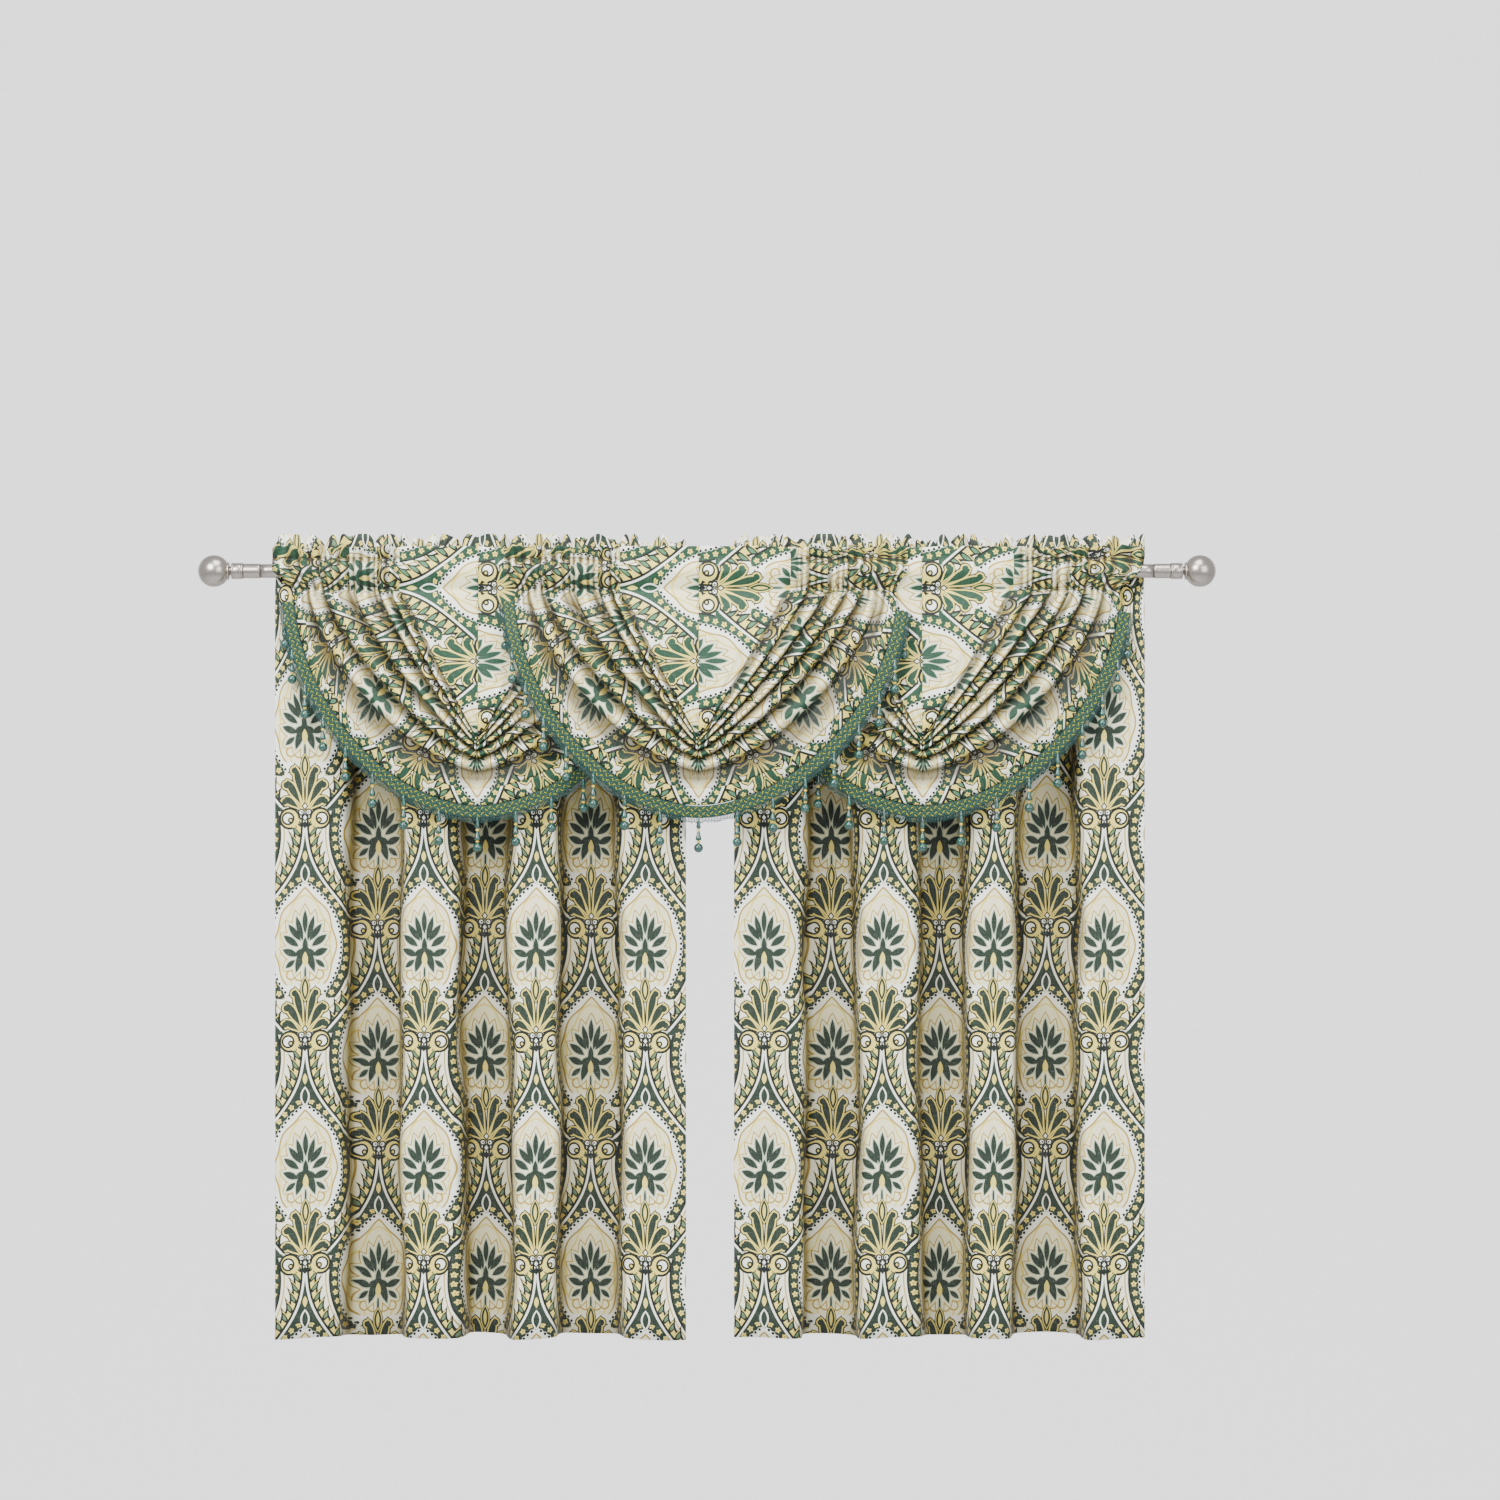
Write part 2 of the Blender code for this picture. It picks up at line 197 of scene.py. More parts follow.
def mesh_object(name, vertices, face_groups):
    """An object at the origin from an array of points and arrays of faces of three or four corners each."""
    mesh = bpy.data.meshes.new(name)
    mesh.vertices.add(len(vertices))
    mesh.vertices.foreach_set("co", np.asarray(vertices, dtype=np.float32).ravel())
    corners = np.concatenate([group.ravel() for group in face_groups])
    sizes = np.concatenate([np.full(len(group), group.shape[1]) for group in face_groups])
    starts = np.concatenate([[0], np.cumsum(sizes)[:-1]])
    mesh.loops.add(len(corners))
    mesh.loops.foreach_set("vertex_index", corners.astype(np.int32))
    mesh.polygons.add(len(sizes))
    mesh.polygons.foreach_set("loop_start", starts.astype(np.int32))
    mesh.polygons.foreach_set("use_smooth", np.ones(len(sizes), dtype=bool))
    mesh.update(calc_edges=True)
    mesh.validate()
    made = bpy.data.objects.new(name, mesh)
    bpy.context.scene.collection.objects.link(made)
    return made


nickel = nickel_material()
pole = turned("pole_tube", np.linspace(-POLE_END, POLE_END, 121), np.full(121, POLE_R))
pole.data.materials.append(nickel)
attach(pole, "root")
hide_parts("pole")


# ---- The sleeves and finials ----
# A wider sleeve closes each end of the tube, and a hollow ball finial plugs into it: a ferrule with two
# turned beads, a short dark neck, a collar and the ball. Each finial is turned from one profile.

SLEEVE_R = 14.8 * MM
SLEEVE_START = 893.3 * MM
SLEEVE_END = 927 * MM
BALL_R = 32 * MM
BALL_CENTRE = 59 * MM
# Finial profile from the pole outwards: distance past the sleeve, radius
FINIAL_PROFILE = (
    (0.3, 15.2), (0.8, 16.1), (1.4, 16.5), (3.6, 16.5), (4.2, 16.1), (4.8, 15.7), (5.4, 16.0), (6.0, 16.2),
    (18.6, 16.2), (19.2, 16.0), (19.8, 15.7), (20.4, 16.1), (21.0, 16.5), (22.6, 16.5), (23.4, 16.0),
    (24.2, 13.8), (24.6, 11.0), (24.9, 8.6), (25.6, 8.3), (26.6, 8.3), (27.3, 8.8), (27.6, 12.0), (28.0, 15.6),
    (28.8, 17.2), (30.0, 17.8), (31.2, 17.6), (32.0, 17.2), (32.6, 18.0),
)

for side, sign in (("left", -1), ("right", 1)):
    ends = np.linspace(SLEEVE_START, SLEEVE_END, 13)
    edge = np.minimum((ends - SLEEVE_START) / (1.2 * MM), 1)
    sleeve = turned(f"sleeve_tube_{side}", sign * ends, SLEEVE_R - 0.5 * MM * (1 - edge))
    sleeve.data.materials.append(nickel)
    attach(sleeve, "root")
    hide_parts(f"sleeve_{side}")

    profile = np.array(FINIAL_PROFILE) * MM
    first = math.asin(profile[-1, 1] / BALL_R)
    arc = np.linspace(first, math.pi - 0.004, 48)[1:]
    reach = np.concatenate([profile[:, 0], BALL_CENTRE - BALL_R * np.cos(arc)])
    radii = np.concatenate([profile[:, 1], BALL_R * np.sin(arc)])
    finial = turned(f"ball_finial_{side}", sign * (SLEEVE_END + reach), radii)
    finial.data.materials.append(nickel)
    finial.data.set_sharp_from_angle(angle=math.radians(50))
    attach(finial, "root")
    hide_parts(f"finial_{side}")


# ---- The damask cloth ----
# Sateen-faced cotton, woven with a half-drop ogee: pointed medallions with a leafy palmette, a band of
# small flowers round each, acanthus edging the necks, and a plume and scrolls where they meet. The
# pattern reads the cloth's own UV map, which holds metres along and across the flat cloth.

REPEAT_WIDE = 294.0
REPEAT_HIGH = 446.0
CREAM = linear(246, 245, 216)
PALE = linear(250, 252, 238)
IVORY = linear(246, 241, 198)
MIST = linear(186, 200, 176)
STRAW = linear(234, 216, 112)
GOLD = linear(170, 144, 58)
INK = linear(12, 22, 17)
# The neck's white line: the height it widens below, how soft that turn is, and its slope
NECK_START, NECK_SOFT, NECK_SLOPE = 118, 28, 0.9
# Each side of a medallion's outline is an arc about a point left of and below its middle
OUTLINE_R, OUTLINE_LEFT, OUTLINE_BELOW = 146, 72, 45.6

# Leaves of the medallion's palmette: base x, y, tip x, y, half width, in mm from the medallion's middle
PALMETTE_LEAVES = (
    (0, -22, 0, 25, 5.2), (5, -36, 18, 13, 5.6), (9, -36, 34, -3, 6.2), (14, -47, 44, -25, 6.8),
    (15, -66, 46, -53, 6.8), (21, -74, 40, -90, 4.8), (0, -64, 0, -29, 5.4), (2, -46, 19, -99, 7.6),
    (2, -52, 22, -66, 5.0), (0, -118, 0, -84, 1.8),
)
# Leaves of the plume over each knot, in mm from the knot's middle, and the curls at their tips
PLUME_LEAVES = ((3, 14, 20, 90, 6.6), (6, 10, 37, 63, 7.2), (10, 5, 42, 29, 6.2))
PLUME_CURLS = ((21.5, 82, 6.2), (38.0, 53, 6.6), (41.5, 20, 6.0))


def leaf_field(place, base_x, base_y, tip_x, tip_y, half_width, full_tip=False):
    """Below 0 inside a pointed leaf: distance from its midrib less its half width times 4 t (1 - t).

    t runs from 0 at the base to 1 at the tip; full_tip makes it 6.75 t t (1 - t). place is (x, y, 1).
    """
    run_x, run_y = tip_x - base_x, tip_y - base_y
    length = math.hypot(run_x, run_y)
    back = -(base_x * run_x + base_y * run_y)
    side = base_x * run_y - base_y * run_x
    dots = {"operation": "DOT_PRODUCT"}
    share = place.node("VectorMath", dots, {0: place, 1: [v / length**2 for v in (run_x, run_y, back)]}, 1)
    off = place.node("VectorMath", dots, {0: place, 1: [v / length for v in (-run_y, run_x, side)]}, 1)
    rise = share - share * share
    if full_tip:
        return abs(off) - rise * share.most(0.0) * (6.75 * half_width)
    return abs(off) - rise * (4 * half_width)


def distance(across, up):
    """The root of across squared plus up squared."""
    return (across * across + up * up).of("SQRT")


def disc_field(x, y, centre_x, centre_y, radius):
    """Distance from a circle: below 0 inside it."""
    return distance(x - centre_x, y - centre_y) - radius


def damask_colour(flat, leaf_green, leaflet_green, leaf_reach):
    """The pattern's colour at a place on the flat cloth, painted layer by layer in mm.

    u and v fold the half-drop lattice into one mirrored quarter. neck is the half width of the white
    neck line, NECK_SLOPE times a softened ramp down from NECK_START, and line is the distance outside it.
    x, y is the place from the medallion whose field it lies in, and kx, ky from the nearest knot. The
    acanthus leaves are leaf_reach times as long as on the panels.
    """
    parts = flat.node("SeparateXYZ", {}, {0: flat})
    across = Wire(parts.socket.node.outputs[0]) * 1000
    up = Wire(parts.socket.node.outputs[1]) * 1000
    half_wide, half_high = REPEAT_WIDE / 2, REPEAT_HIGH / 2
    u = across.math("PINGPONG", across, half_wide)
    v = up.math("WRAP", up, half_high, -half_high)
    below = v < 0
    u = u + below * (half_wide - u * 2)
    v = v + below * half_high
    ramp = ((NECK_START - v) / NECK_SOFT).of("EXPONENT") + 1
    neck = ramp.math("LOGARITHM", ramp, math.e) * (NECK_SLOPE * NECK_SOFT)
    slope = (ramp - 1) / ramp * NECK_SLOPE
    line = (u - neck) * (slope * slope + 1).of("INVERSE_SQRT")
    outside = line > 0
    x = u + outside * (half_wide - u * 2)
    y = v - outside * half_high
    reach_x, reach_y = x + OUTLINE_LEFT, y + OUTLINE_BELOW
    from_outline = distance(reach_x, reach_y) - OUTLINE_R
    angle = reach_x.math("ARCTAN2", reach_y, reach_x)

    # A gold thread follows each medallion's lower half
    colour = (abs(from_outline - 30).under(1.2) * outside).paint(CREAM, GOLD)

    # Acanthus along the outside of the neck: teeth that lean up and out, a green leaflet in each
    width = ((v - 4) / 56).least((214 - v) / 14).least(1.0).most(0.0)
    tooth = ((v - neck * 0.38 - line * 0.95) / 22).of("FRACT")
    edge = line - width * (tooth * tooth * 14 + 18) * leaf_reach
    leafy = edge.under(0) * outside
    colour = leafy.paint(colour, STRAW)
    leaflet = (tooth - 0.57) / 0.17
    rib = (line - width * (17 * leaf_reach)) / (width * (8 * leaf_reach) + 0.1)
    spot = leaflet * leaflet + rib * rib
    colour = (spot.under(2.7, 0.3) * leafy).paint(colour, INK)
    colour = (spot.under(0.9, 0.3) * leafy).paint(colour, leaflet_green)
    between = (abs(tooth - 0.5) * -1).under(-0.42, 0.03)
    notch = between * edge.under(0) * (width * (15 * leaf_reach) - line).under(0)
    rim = abs(edge).under(2.6, 0.5) * (width * -1).under(-0.1, 0.05)
    colour = (rim.most(notch) * outside).paint(colour, INK)

    # A volute beside each knot
    far = v > half_high / 2
    kx = (half_wide - u) + far * (u * 2 - half_wide)
    ky = v - far * half_high
    volute = disc_field(kx, ky, 31.5, -14, 20)
    eye = disc_field(kx, ky, 35, -14, 11.5)
    hook = disc_field(kx, ky, 29.5, -17.5, 4.2)
    colour = volute.under(0).paint(colour, STRAW)
    colour = eye.under(0).paint(colour, PALE)
    colour = (hook.under(0) * volute.under(0)).paint(colour, STRAW)
    turn_line = abs(eye).under(2.0).most(abs(hook).under(1.7) * eye.under(0))
    colour = turn_line.most(abs(volute).under(2.4) * (1 - leafy)).paint(colour, INK)

    # The dark band, pointed at its lower end, and the neck's dark wedge
    end = (abs(from_outline - 10.5) * 0.006 - angle).under(0.75, 0.01)
    band = (from_outline.under(20) * end).most(line.under(-1) * (y * -1).under(0))
    colour = (from_outline.under(24) * end * outside).paint(colour, INK)
    colour = band.paint(colour, leaf_green)

    # Small five-petalled flowers along the band
    petal_along = ((angle * 8.5).of("FRACT") - 0.5) * 18.6
    petal_across = from_outline - 11.8
    petals = petal_along.math("ARCTAN2", petal_across, petal_along) * 5
    flower = distance(petal_along, petal_across)
    kept = band * end * (y - 90).under(0)
    colour = ((flower - petals.of("COSINE") * 1.2).under(5.0) * kept).paint(colour, STRAW)
    colour = (flower.under(1.7) * kept).paint(colour, GOLD)

    # Dotted edge, pale ground, and two gold scalloped lines inside
    dot_along = ((angle * 13.8).of("FRACT") - 0.5) * 10.4
    closed = (y * -1).under(146, 1.0)
    colour = ((from_outline - 3.4 + abs(dot_along) * 0.5).under(0.6) * closed).paint(colour, PALE)
    colour = (distance(dot_along, from_outline).under(2.9) * closed).paint(colour, INK)
    scallop = (angle * 12).of("COSINE")
    inner = closed * (y * -1).under(124, 4)
    ring = from_outline + 12 - scallop * 2.4
    colour = (ring.under(0) * inner).paint(colour, IVORY)
    colour = (abs(ring).under(1.7) * inner).paint(colour, GOLD)
    colour = (abs(from_outline + 21 + scallop * 3.2).under(1.8) * inner).paint(colour, STRAW)

    # Plume above the knot
    plant = kx.node("CombineXYZ", {}, {0: kx, 1: ky, 2: 1.0})
    plume = disc_field(kx, ky, *PLUME_CURLS[0])
    for curl in PLUME_CURLS[1:]:
        plume = plume.least(disc_field(kx, ky, *curl))
    for leaf in PLUME_LEAVES:
        plume = plume.least(leaf_field(plant, *leaf, full_tip=True))
    colour = plume.under(5.6).paint(colour, INK)
    colour = plume.under(3.1).paint(colour, STRAW)
    colour = plume.under(0.2).paint(colour, leaf_green)

    # Palmette with its halo, teardrop and gold curls
    bloom = x.node("CombineXYZ", {}, {0: x, 1: y, 2: 1.0})
    palmette = leaf_field(bloom, *PALMETTE_LEAVES[0])
    for leaf in PALMETTE_LEAVES[1:]:
        palmette = palmette.least(leaf_field(bloom, *leaf))
    for curl_x, curl_y, curl_r in ((12, -106, 9.5), (29, -104, 9.0)):
        curl = disc_field(x, y, curl_x, curl_y, curl_r)
        colour = curl.under(0).paint(colour, IVORY)
        colour = abs(curl).under(1.6).paint(colour, GOLD)
    colour = palmette.under(8.6, 1.0).paint(colour, GOLD)
    colour = palmette.under(6.2, 1.0).paint(colour, IVORY)
    colour = palmette.under(2.4, 1.2).paint(colour, MIST)
    colour = palmette.under(0.2).paint(colour, leaf_green)
    colour = leaf_field(bloom, 0, -89, 0, -58, 5.6).under(0).paint(colour, STRAW)
    drop = leaf_field(bloom, 0, -156, 0, -110, 7.5)
    colour = drop.under(3.6).paint(colour, INK)
    colour = drop.under(1.8).paint(colour, STRAW)
    colour = drop.under(0).paint(colour, leaf_green)
    colour = drop.under(-4.2).paint(colour, STRAW)

    # Eye and drop in the neck, then the white line and the ink line that edge it
    eyelet = leaf_field(bloom, 0, 78, 0, 118, 9.5)
    colour = eyelet.under(0).paint(colour, PALE)
    colour = eyelet.under(-3.2).paint(colour, leaf_green)
    colour = leaf_field(bloom, 0, 122, 0, 144, 4.6).under(0).paint(colour, STRAW)
    shown = (v * -1).under(-8, 3)
    colour = (abs(line).under(2.3) * shown).paint(colour, PALE)
    colour = (abs(line - 4.5).under(2.4) * shown).paint(colour, INK)

    # Knot: two small spirals between two diamonds, and a small dark one below
    for height, size, core in ((10.5, 6.5, PALE), (-12.5, 6.5, PALE), (-27.0, 6.0, INK)):
        diamond = abs(kx) * 1.3 + abs(ky - height)
        colour = diamond.under(size + 2.6).paint(colour, INK)
        colour = diamond.under(size - 1.5).paint(colour, core)
    small = disc_field(kx, ky, 7.4, -1.5, 5.6)
    colour = small.under(0).paint(colour, PALE)
    colour = abs(small).under(1.5).most(disc_field(kx, ky, 6.4, -1.5, 1.9).under(0)).paint(colour, INK)
    return colour


def damask_material(name, leaf_green, leaflet_green, leaf_reach, shade):
    """The woven pattern, its weave and slubs in the bump, and painted shade: the shade colour multiplied in
    deep in folds and gathers.
    """
    made, shader, coordinates = new_material(
        name, {"Sheen Weight": 0.03, "Sheen Roughness": 0.4, "Specular IOR Level": 0.3}
    )
    flat = Wire(coordinates.outputs["UV"])
    colour = damask_colour(flat, leaf_green, leaflet_green, leaf_reach)
    weave = flat.stretched((900, 60, 1)).noise(1.0) + flat.stretched((50, 1100, 1)).noise(1.0)
    # Painted shade: how much of the shade colour is multiplied into the pattern at each place, read from the
    # cloth's attribute
    depth = flat.node("Attribute", {"attribute_name": "painted_fold_shade"}, {}, 2)
    colour = depth.node(
        "Mix", {"data_type": "RGBA", "blend_type": "MULTIPLY"}, {0: depth, 6: colour, 7: shade}, 2
    )
    colour = ((weave - 1) * 0.12).most(0.0).paint(colour, PALE)
    connect(shader, {"Base Color": colour, "Roughness": weave * 0.1 + 0.5, "Normal": weave.bump(0.25, 0.0004)})
    return made


damask = damask_material(
    "damask_cloth",
    leaf_green=linear(32, 48, 36),
    leaflet_green=linear(94, 120, 86),
    leaf_reach=1.0,
    shade=linear(130, 119, 84),
)


# ---- The two panels ----
# Each is one width of the damask, hemmed at its sides and foot and gathered on the pole by a pocket sewn
# below its top edge, so that the edge stands up as a ruffle. Box-like folds fall from the gathers.

PANEL_WIDE = 0.822
PANEL_LEFT_EDGES = {"panel_left": -0.864, "panel_right": 0.054}
PANEL_TOP = 66 * MM
# How far a panel hangs below its pocket's lower stitches
PANEL_FALL = 1.498
STITCH_TOP = 24 * MM
STITCH_LOW = -38 * MM
STITCH_OUT = 0.925 * MM
CLOTH = 0.9 * MM
# A pocket's wall: height and distance out
POCKET_WALL = np.array(((24.0, 0.925), (15.0, 9.6), (6.0, 14.9), (-2.2, 16.0), (-16.0, 11.5), (-38.0, 0.925)))
# Where each fold turns back or forward: distance from the left edge, lean at the hem
PANEL_TURNS = np.array(
    ((0.152, -0.012), (0.247, 0.008), (0.365, 0.014), (0.466, 0.006), (0.572, -0.008), (0.684, 0.010))
)
TURN_DEPTH = 0.074
TURN_ROUNDING = 0.014
TURN_ANGLE = 1.42
FOLDS_FULL_BELOW = 0.30
GATHER_PITCH = 0.0142
GATHER_FADE = 0.075
BUMP_PITCH = 0.068
CREST_PLACES = np.array((0.062, 0.298, 0.520, 0.738))
MEDALLION_HEIGHT = -0.704
# Rows of the pocket and header, in mm from the pole's axis
PANEL_HEAD = (68, 60, 52, 44, 37, 31, 27, 24, 20, 15, 10.5, 6, 2, -2.2, -7, -12, -16, -22, -28, -33, -38)


def smooth_step(x):
    """0 to 1 with level ends: 3 x^2 - 2 x^3."""
    x = np.clip(x, 0, 1)
    return x * x * (3 - 2 * x)


def pocket_out(z):
    """How far a pocket's wall stands out at a height, read off the wall's corners."""
    return np.interp(z / MM, POCKET_WALL[::-1, 0], POCKET_WALL[::-1, 1]) * MM


def unevenness(x, seed, waves):
    """A smooth wandering line between about -1 and 1: sines of growing pitch with set phases."""
    phases = np.random.default_rng(seed).uniform(0, 2 * np.pi, len(waves))
    total = sum(np.sin(2 * np.pi * x / pitch + phase) for pitch, phase in zip(waves, phases))
    return total / len(waves)


def grid_cloth(name, points, uv_runs, cloth_material, depth, thickness):
    """A cloth from a grid of points. uv_runs lists row and column ranges with the UVs of their places."""
    rows, columns = points.shape[:2]
    row, column = np.meshgrid(np.arange(rows - 1), np.arange(columns - 1), indexing="ij")
    corner = row * columns + column
    quads = np.stack([corner, corner + 1, corner + columns + 1, corner + columns], axis=-1).reshape(-1, 4)
    cloth = mesh_object(name, points.reshape(-1, 3), [quads])
    corner_uv = np.zeros((rows - 1, columns - 1, 4, 2))
    for top, bottom, start, stop, uv in uv_runs:
        cells = corner_uv[top:bottom, start:stop]
        cells[:, :, 0] = uv[:-1, :-1]
        cells[:, :, 1] = uv[:-1, 1:]
        cells[:, :, 2] = uv[1:, 1:]
        cells[:, :, 3] = uv[1:, :-1]
    layer = cloth.data.uv_layers.new(name="flat_cloth")
    layer.data.foreach_set("uv", corner_uv.astype(np.float32).ravel())
    # The painted shade of each point, which the material uses to darken the cloth in folds and gathers
    shade = cloth.data.attributes.new("painted_fold_shade", "FLOAT", "POINT")
    shade.data.foreach_set("value", depth.astype(np.float32).ravel())
    cloth.data.materials.append(cloth_material)
    thick = cloth.modifiers.new("thickness", "SOLIDIFY")
    thick.thickness = thickness
    thick.offset = 0
    return cloth


def panel_points(seed):
    """A panel's places from its left edge, its flat UV, and its painted shade: more the deeper a place lies in
    a fold, on the folds' turned walls and in the gathers' troughs.

    Along each level the cloth's direction is an angle: 0 across the folds' faces, and a bell of up to
    TURN_ANGLE back or forward at each turn. The place is the running sum of that direction. Gathers are
    a fast wave on top that dies away below the pocket, and the header's ruffle is a slower one. The UV
    holds the pattern still on each fold's face, and takes it up on the turns between.
    """
    columns, body_rows = 360, 52
    fall = PANEL_FALL * np.linspace(0, 1, body_rows + 1)[1:] ** 1.7
    heights = np.concatenate([np.array(PANEL_HEAD) * MM, STITCH_LOW - fall])[:, None]
    fall = np.clip(STITCH_LOW - heights, 0, None)
    hang = fall / PANEL_FALL
    side = TURN_DEPTH - TURN_ROUNDING
    flat_wide = PANEL_WIDE + len(PANEL_TURNS) * side
    s = np.linspace(0, flat_wide, columns + 1)[None, :]
    full = smooth_step(fall / FOLDS_FULL_BELOW)
    angle = np.zeros_like(s * heights)
    for i, (at, lean) in enumerate(PANEL_TURNS):
        middle = at + side * (i + 0.5) + lean * hang + 0.006 * unevenness(heights, seed + i, (0.9, 0.43))
        bell = 1 / (1 + np.abs((s - middle) / (0.5 * TURN_DEPTH)) ** 6)
        angle += (1 if i % 2 == 0 else -1) * TURN_ANGLE * full * bell
    drift = 0.05 * unevenness(heights, seed + 9, (1.3, 0.7))
    angle += full * 0.16 * unevenness(s + drift, seed, (0.11, 0.067, 0.19))
    gather = np.exp(-fall / GATHER_FADE) * (heights <= STITCH_TOP)
    phase = 2 * np.pi * (s / GATHER_PITCH + 0.5 * unevenness(s, seed + 20, (0.09, 0.041)))
    angle += 0.75 * gather * np.sin(phase) * np.clip(1.6 * np.abs(heights + 0.007) / 0.031, 0.55, 1)
    step = flat_wide / columns
    x = np.cumsum(np.cos(angle), axis=1) * step
    x = (x - x[:, :1]) * PANEL_WIDE / (x[:, -1:] - x[:, :1])
    back = np.cumsum(np.sin(angle), axis=1) * step
    back = back - back[:, :1] - (back[:, -1:] - back[:, :1]) * s / flat_wide
    back = back - back.min(axis=1, keepdims=True)
    rise = smooth_step((heights - STITCH_TOP) / (PANEL_TOP - STITCH_TOP))
    ruffle = (0.5 + 0.5 * unevenness(s, seed + 31, (0.136, 0.071))) * 15 * MM
    small = 3.5 * MM * (1 + np.sin(phase)) * np.exp(-np.clip(heights - STITCH_TOP, 0, None) / 0.016)
    header = STITCH_OUT + ruffle * rise + small * (1 - 0.4 * rise)
    below = pocket_out(heights) * (fall == 0) + STITCH_OUT * (fall > 0) + back
    y = np.where(heights > STITCH_TOP, header, below)
    swing = 2.2 * unevenness(s, seed + 40, (0.31, 0.17, 0.093))
    bumps = np.abs(np.sin(np.pi * s / BUMP_PITCH + swing)) ** 0.6
    lift = rise * (7 - 24 * (1 - bumps)) * MM
    z = heights + lift + hang * 0.004 * unevenness(s, seed + 50, (0.4, 0.23))
    turns = PANEL_TURNS[:, 0] + side * (np.arange(len(PANEL_TURNS)) + 0.5)
    crests = CREST_PLACES + side * 2 * np.arange(len(CREST_PLACES))
    valleys = (turns[0::2] + turns[1::2]) / 2
    known, flat_at = [crests[0] - 1], [-1.0]
    for i, turn in enumerate(turns):
        crest, valley = crests[(i + 1) // 2], valleys[i // 2]
        crest_at, valley_at = (i + 1) // 2 * REPEAT_WIDE * MM, (i // 2 + 0.5) * REPEAT_WIDE * MM
        before, after = turn - TURN_DEPTH / 2, turn + TURN_DEPTH / 2
        nearer, further = (crest, crest_at), (valley, valley_at)
        if i % 2:
            nearer, further = further, nearer
        known += [before, after]
        flat_at += [nearer[1] + before - nearer[0], further[1] + after - further[0]]
    known.append(crests[-1] + 1)
    flat_at.append(3 * REPEAT_WIDE * MM + 1)
    across = np.interp(s, known, flat_at)
    uv = np.stack(np.broadcast_arrays(across, heights - MEDALLION_HEIGHT), axis=-1)
    # Painted shade: darker on the turned walls of the folds, deep in the valleys behind and in the gathers'
    # troughs near the pocket's stitches
    wall = np.clip(np.abs(np.sin(angle)) - 0.3, 0, 1) * full
    gather_trough_shade = (0.5 + 0.5 * np.cos(phase)) * np.exp(-np.abs(heights - STITCH_TOP) / 0.03) * (full == 0)
    depth = smooth_step((y - 0.02) / 0.05) * full * 0.52 + 0.75 * wall + 0.8 * gather_trough_shade
    return np.stack(np.broadcast_arrays(x, y, z), axis=-1), uv, depth


for name, left_edge in PANEL_LEFT_EDGES.items():
    points, uv, depth = panel_points(3 if name == "panel_left" else 77)
    points = points + np.array((left_edge, 0, 0))
    run = (0, points.shape[0] - 1, 0, points.shape[1] - 1, uv)
    panel = grid_cloth(f"{name}_cloth", points, [run], damask, depth, CLOTH)
    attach(panel, "root")
    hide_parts(name)


# ---- The three valances ----
# Each is a swag: one cloth gathered along a pocket on the pole and drawn up in its middle, so that its
# folds swing from the pocket to that point and its curved edge hangs below. A seam runs down its middle.

VALANCE_CENTRES = {"valance_left": -0.457, "valance_centre": -0.016, "valance_right": 0.430}
VALANCE_SEEDS = {"valance_left": 200, "valance_centre": 207, "valance_right": 214}
# Added to a valance's seed for its right half
RIGHT_SEED = 50
# One row for each crest, crease or flat of a swag, from the middle seam out to the trimmed edge.
# left, right: where it leaves the pocket; ruffle: how far it stands out there; belly: halfway down;
# drop and out: how low and how far out it passes the middle; bend: 1 is a straight V, 2 an ellipse.
SWAG_COLUMNS = ("left", "right", "ruffle", "belly", "drop", "out", "bend")
SWAG_LINES = np.array(
    (
        (0, 0, 0.5, 12, 328, 20, 1.00),
        (60, 66, 0.5, 16, 330, 22, 1.00),
        (118, 132, 2.0, 22, 332, 25, 1.02),
        (158, 183, 0.0, 17, 335, 24, 1.04),
        (167, 202, 6.0, 27, 338, 32, 1.06),
        (177, 220, 0.0, 17, 341, 26, 1.08),
        (189, 238, 7.0, 36, 345, 38, 1.10),
        (202, 257, 0.0, 20, 349, 30, 1.12),
        (228, 276, 7.0, 42, 354, 44, 1.15),
        (255, 296, 0.0, 22, 360, 35, 1.18),
        (284, 310, 7.5, 48, 367, 53, 1.22),
        (310, 325, 0.0, 24, 376, 42, 1.28),
        (325, 345, 6.5, 46, 388, 62, 1.36),
        (340, 362, 0.0, 25, 402, 41, 1.48),
        (354, 379, 4.0, 39, 434, 43, 1.66),
        (368, 395, 0.0, 28, 468, 34, 1.80),
    )
)
EDGE_ROW = 15
FIRST_CREASE = 3
FOLD_LEAN = 0.42
FINE_COLUMNS = 12
BODY_ROWS = 56
VALANCE_TOP = 49 * MM
VALANCE_HEAD = (50, 46, 41, 36, 31, 27.5, 24, 20, 15, 10.5, 6, 2, -2.2, -7, -12, -16, -22, -28, -33)
HEAD_HEIGHTS = np.array(VALANCE_HEAD) * MM
POCKET_FLARE = {"valance_left": 44 * MM, "valance_centre": 22 * MM, "valance_right": 44 * MM}
FRONT_STEP = 2.5 * MM
FRONT_STAND = 26 * MM
FRONT_STAND_BELOW = 0.120
PRESSED_SLOPE = 0.08
COVER_FULL = 1.22
COVER_END = 1.50
# Runs of columns that show as one fold: first and last row of the table, the row that is held to a place
# on the flat cloth, and that place in mm on the left and on the right
FOLD_FACES = (
    (0, 3, 0, -40, 150), (3, 5, 4, 250, 190), (5, 7, 6, 405, 330), (7, 9, 8, 560, 520),
    (9, 11, 10, 705, 690), (11, 15, 15, 940, 940),
)
PATTERN_FROM_EDGE = 852 * MM


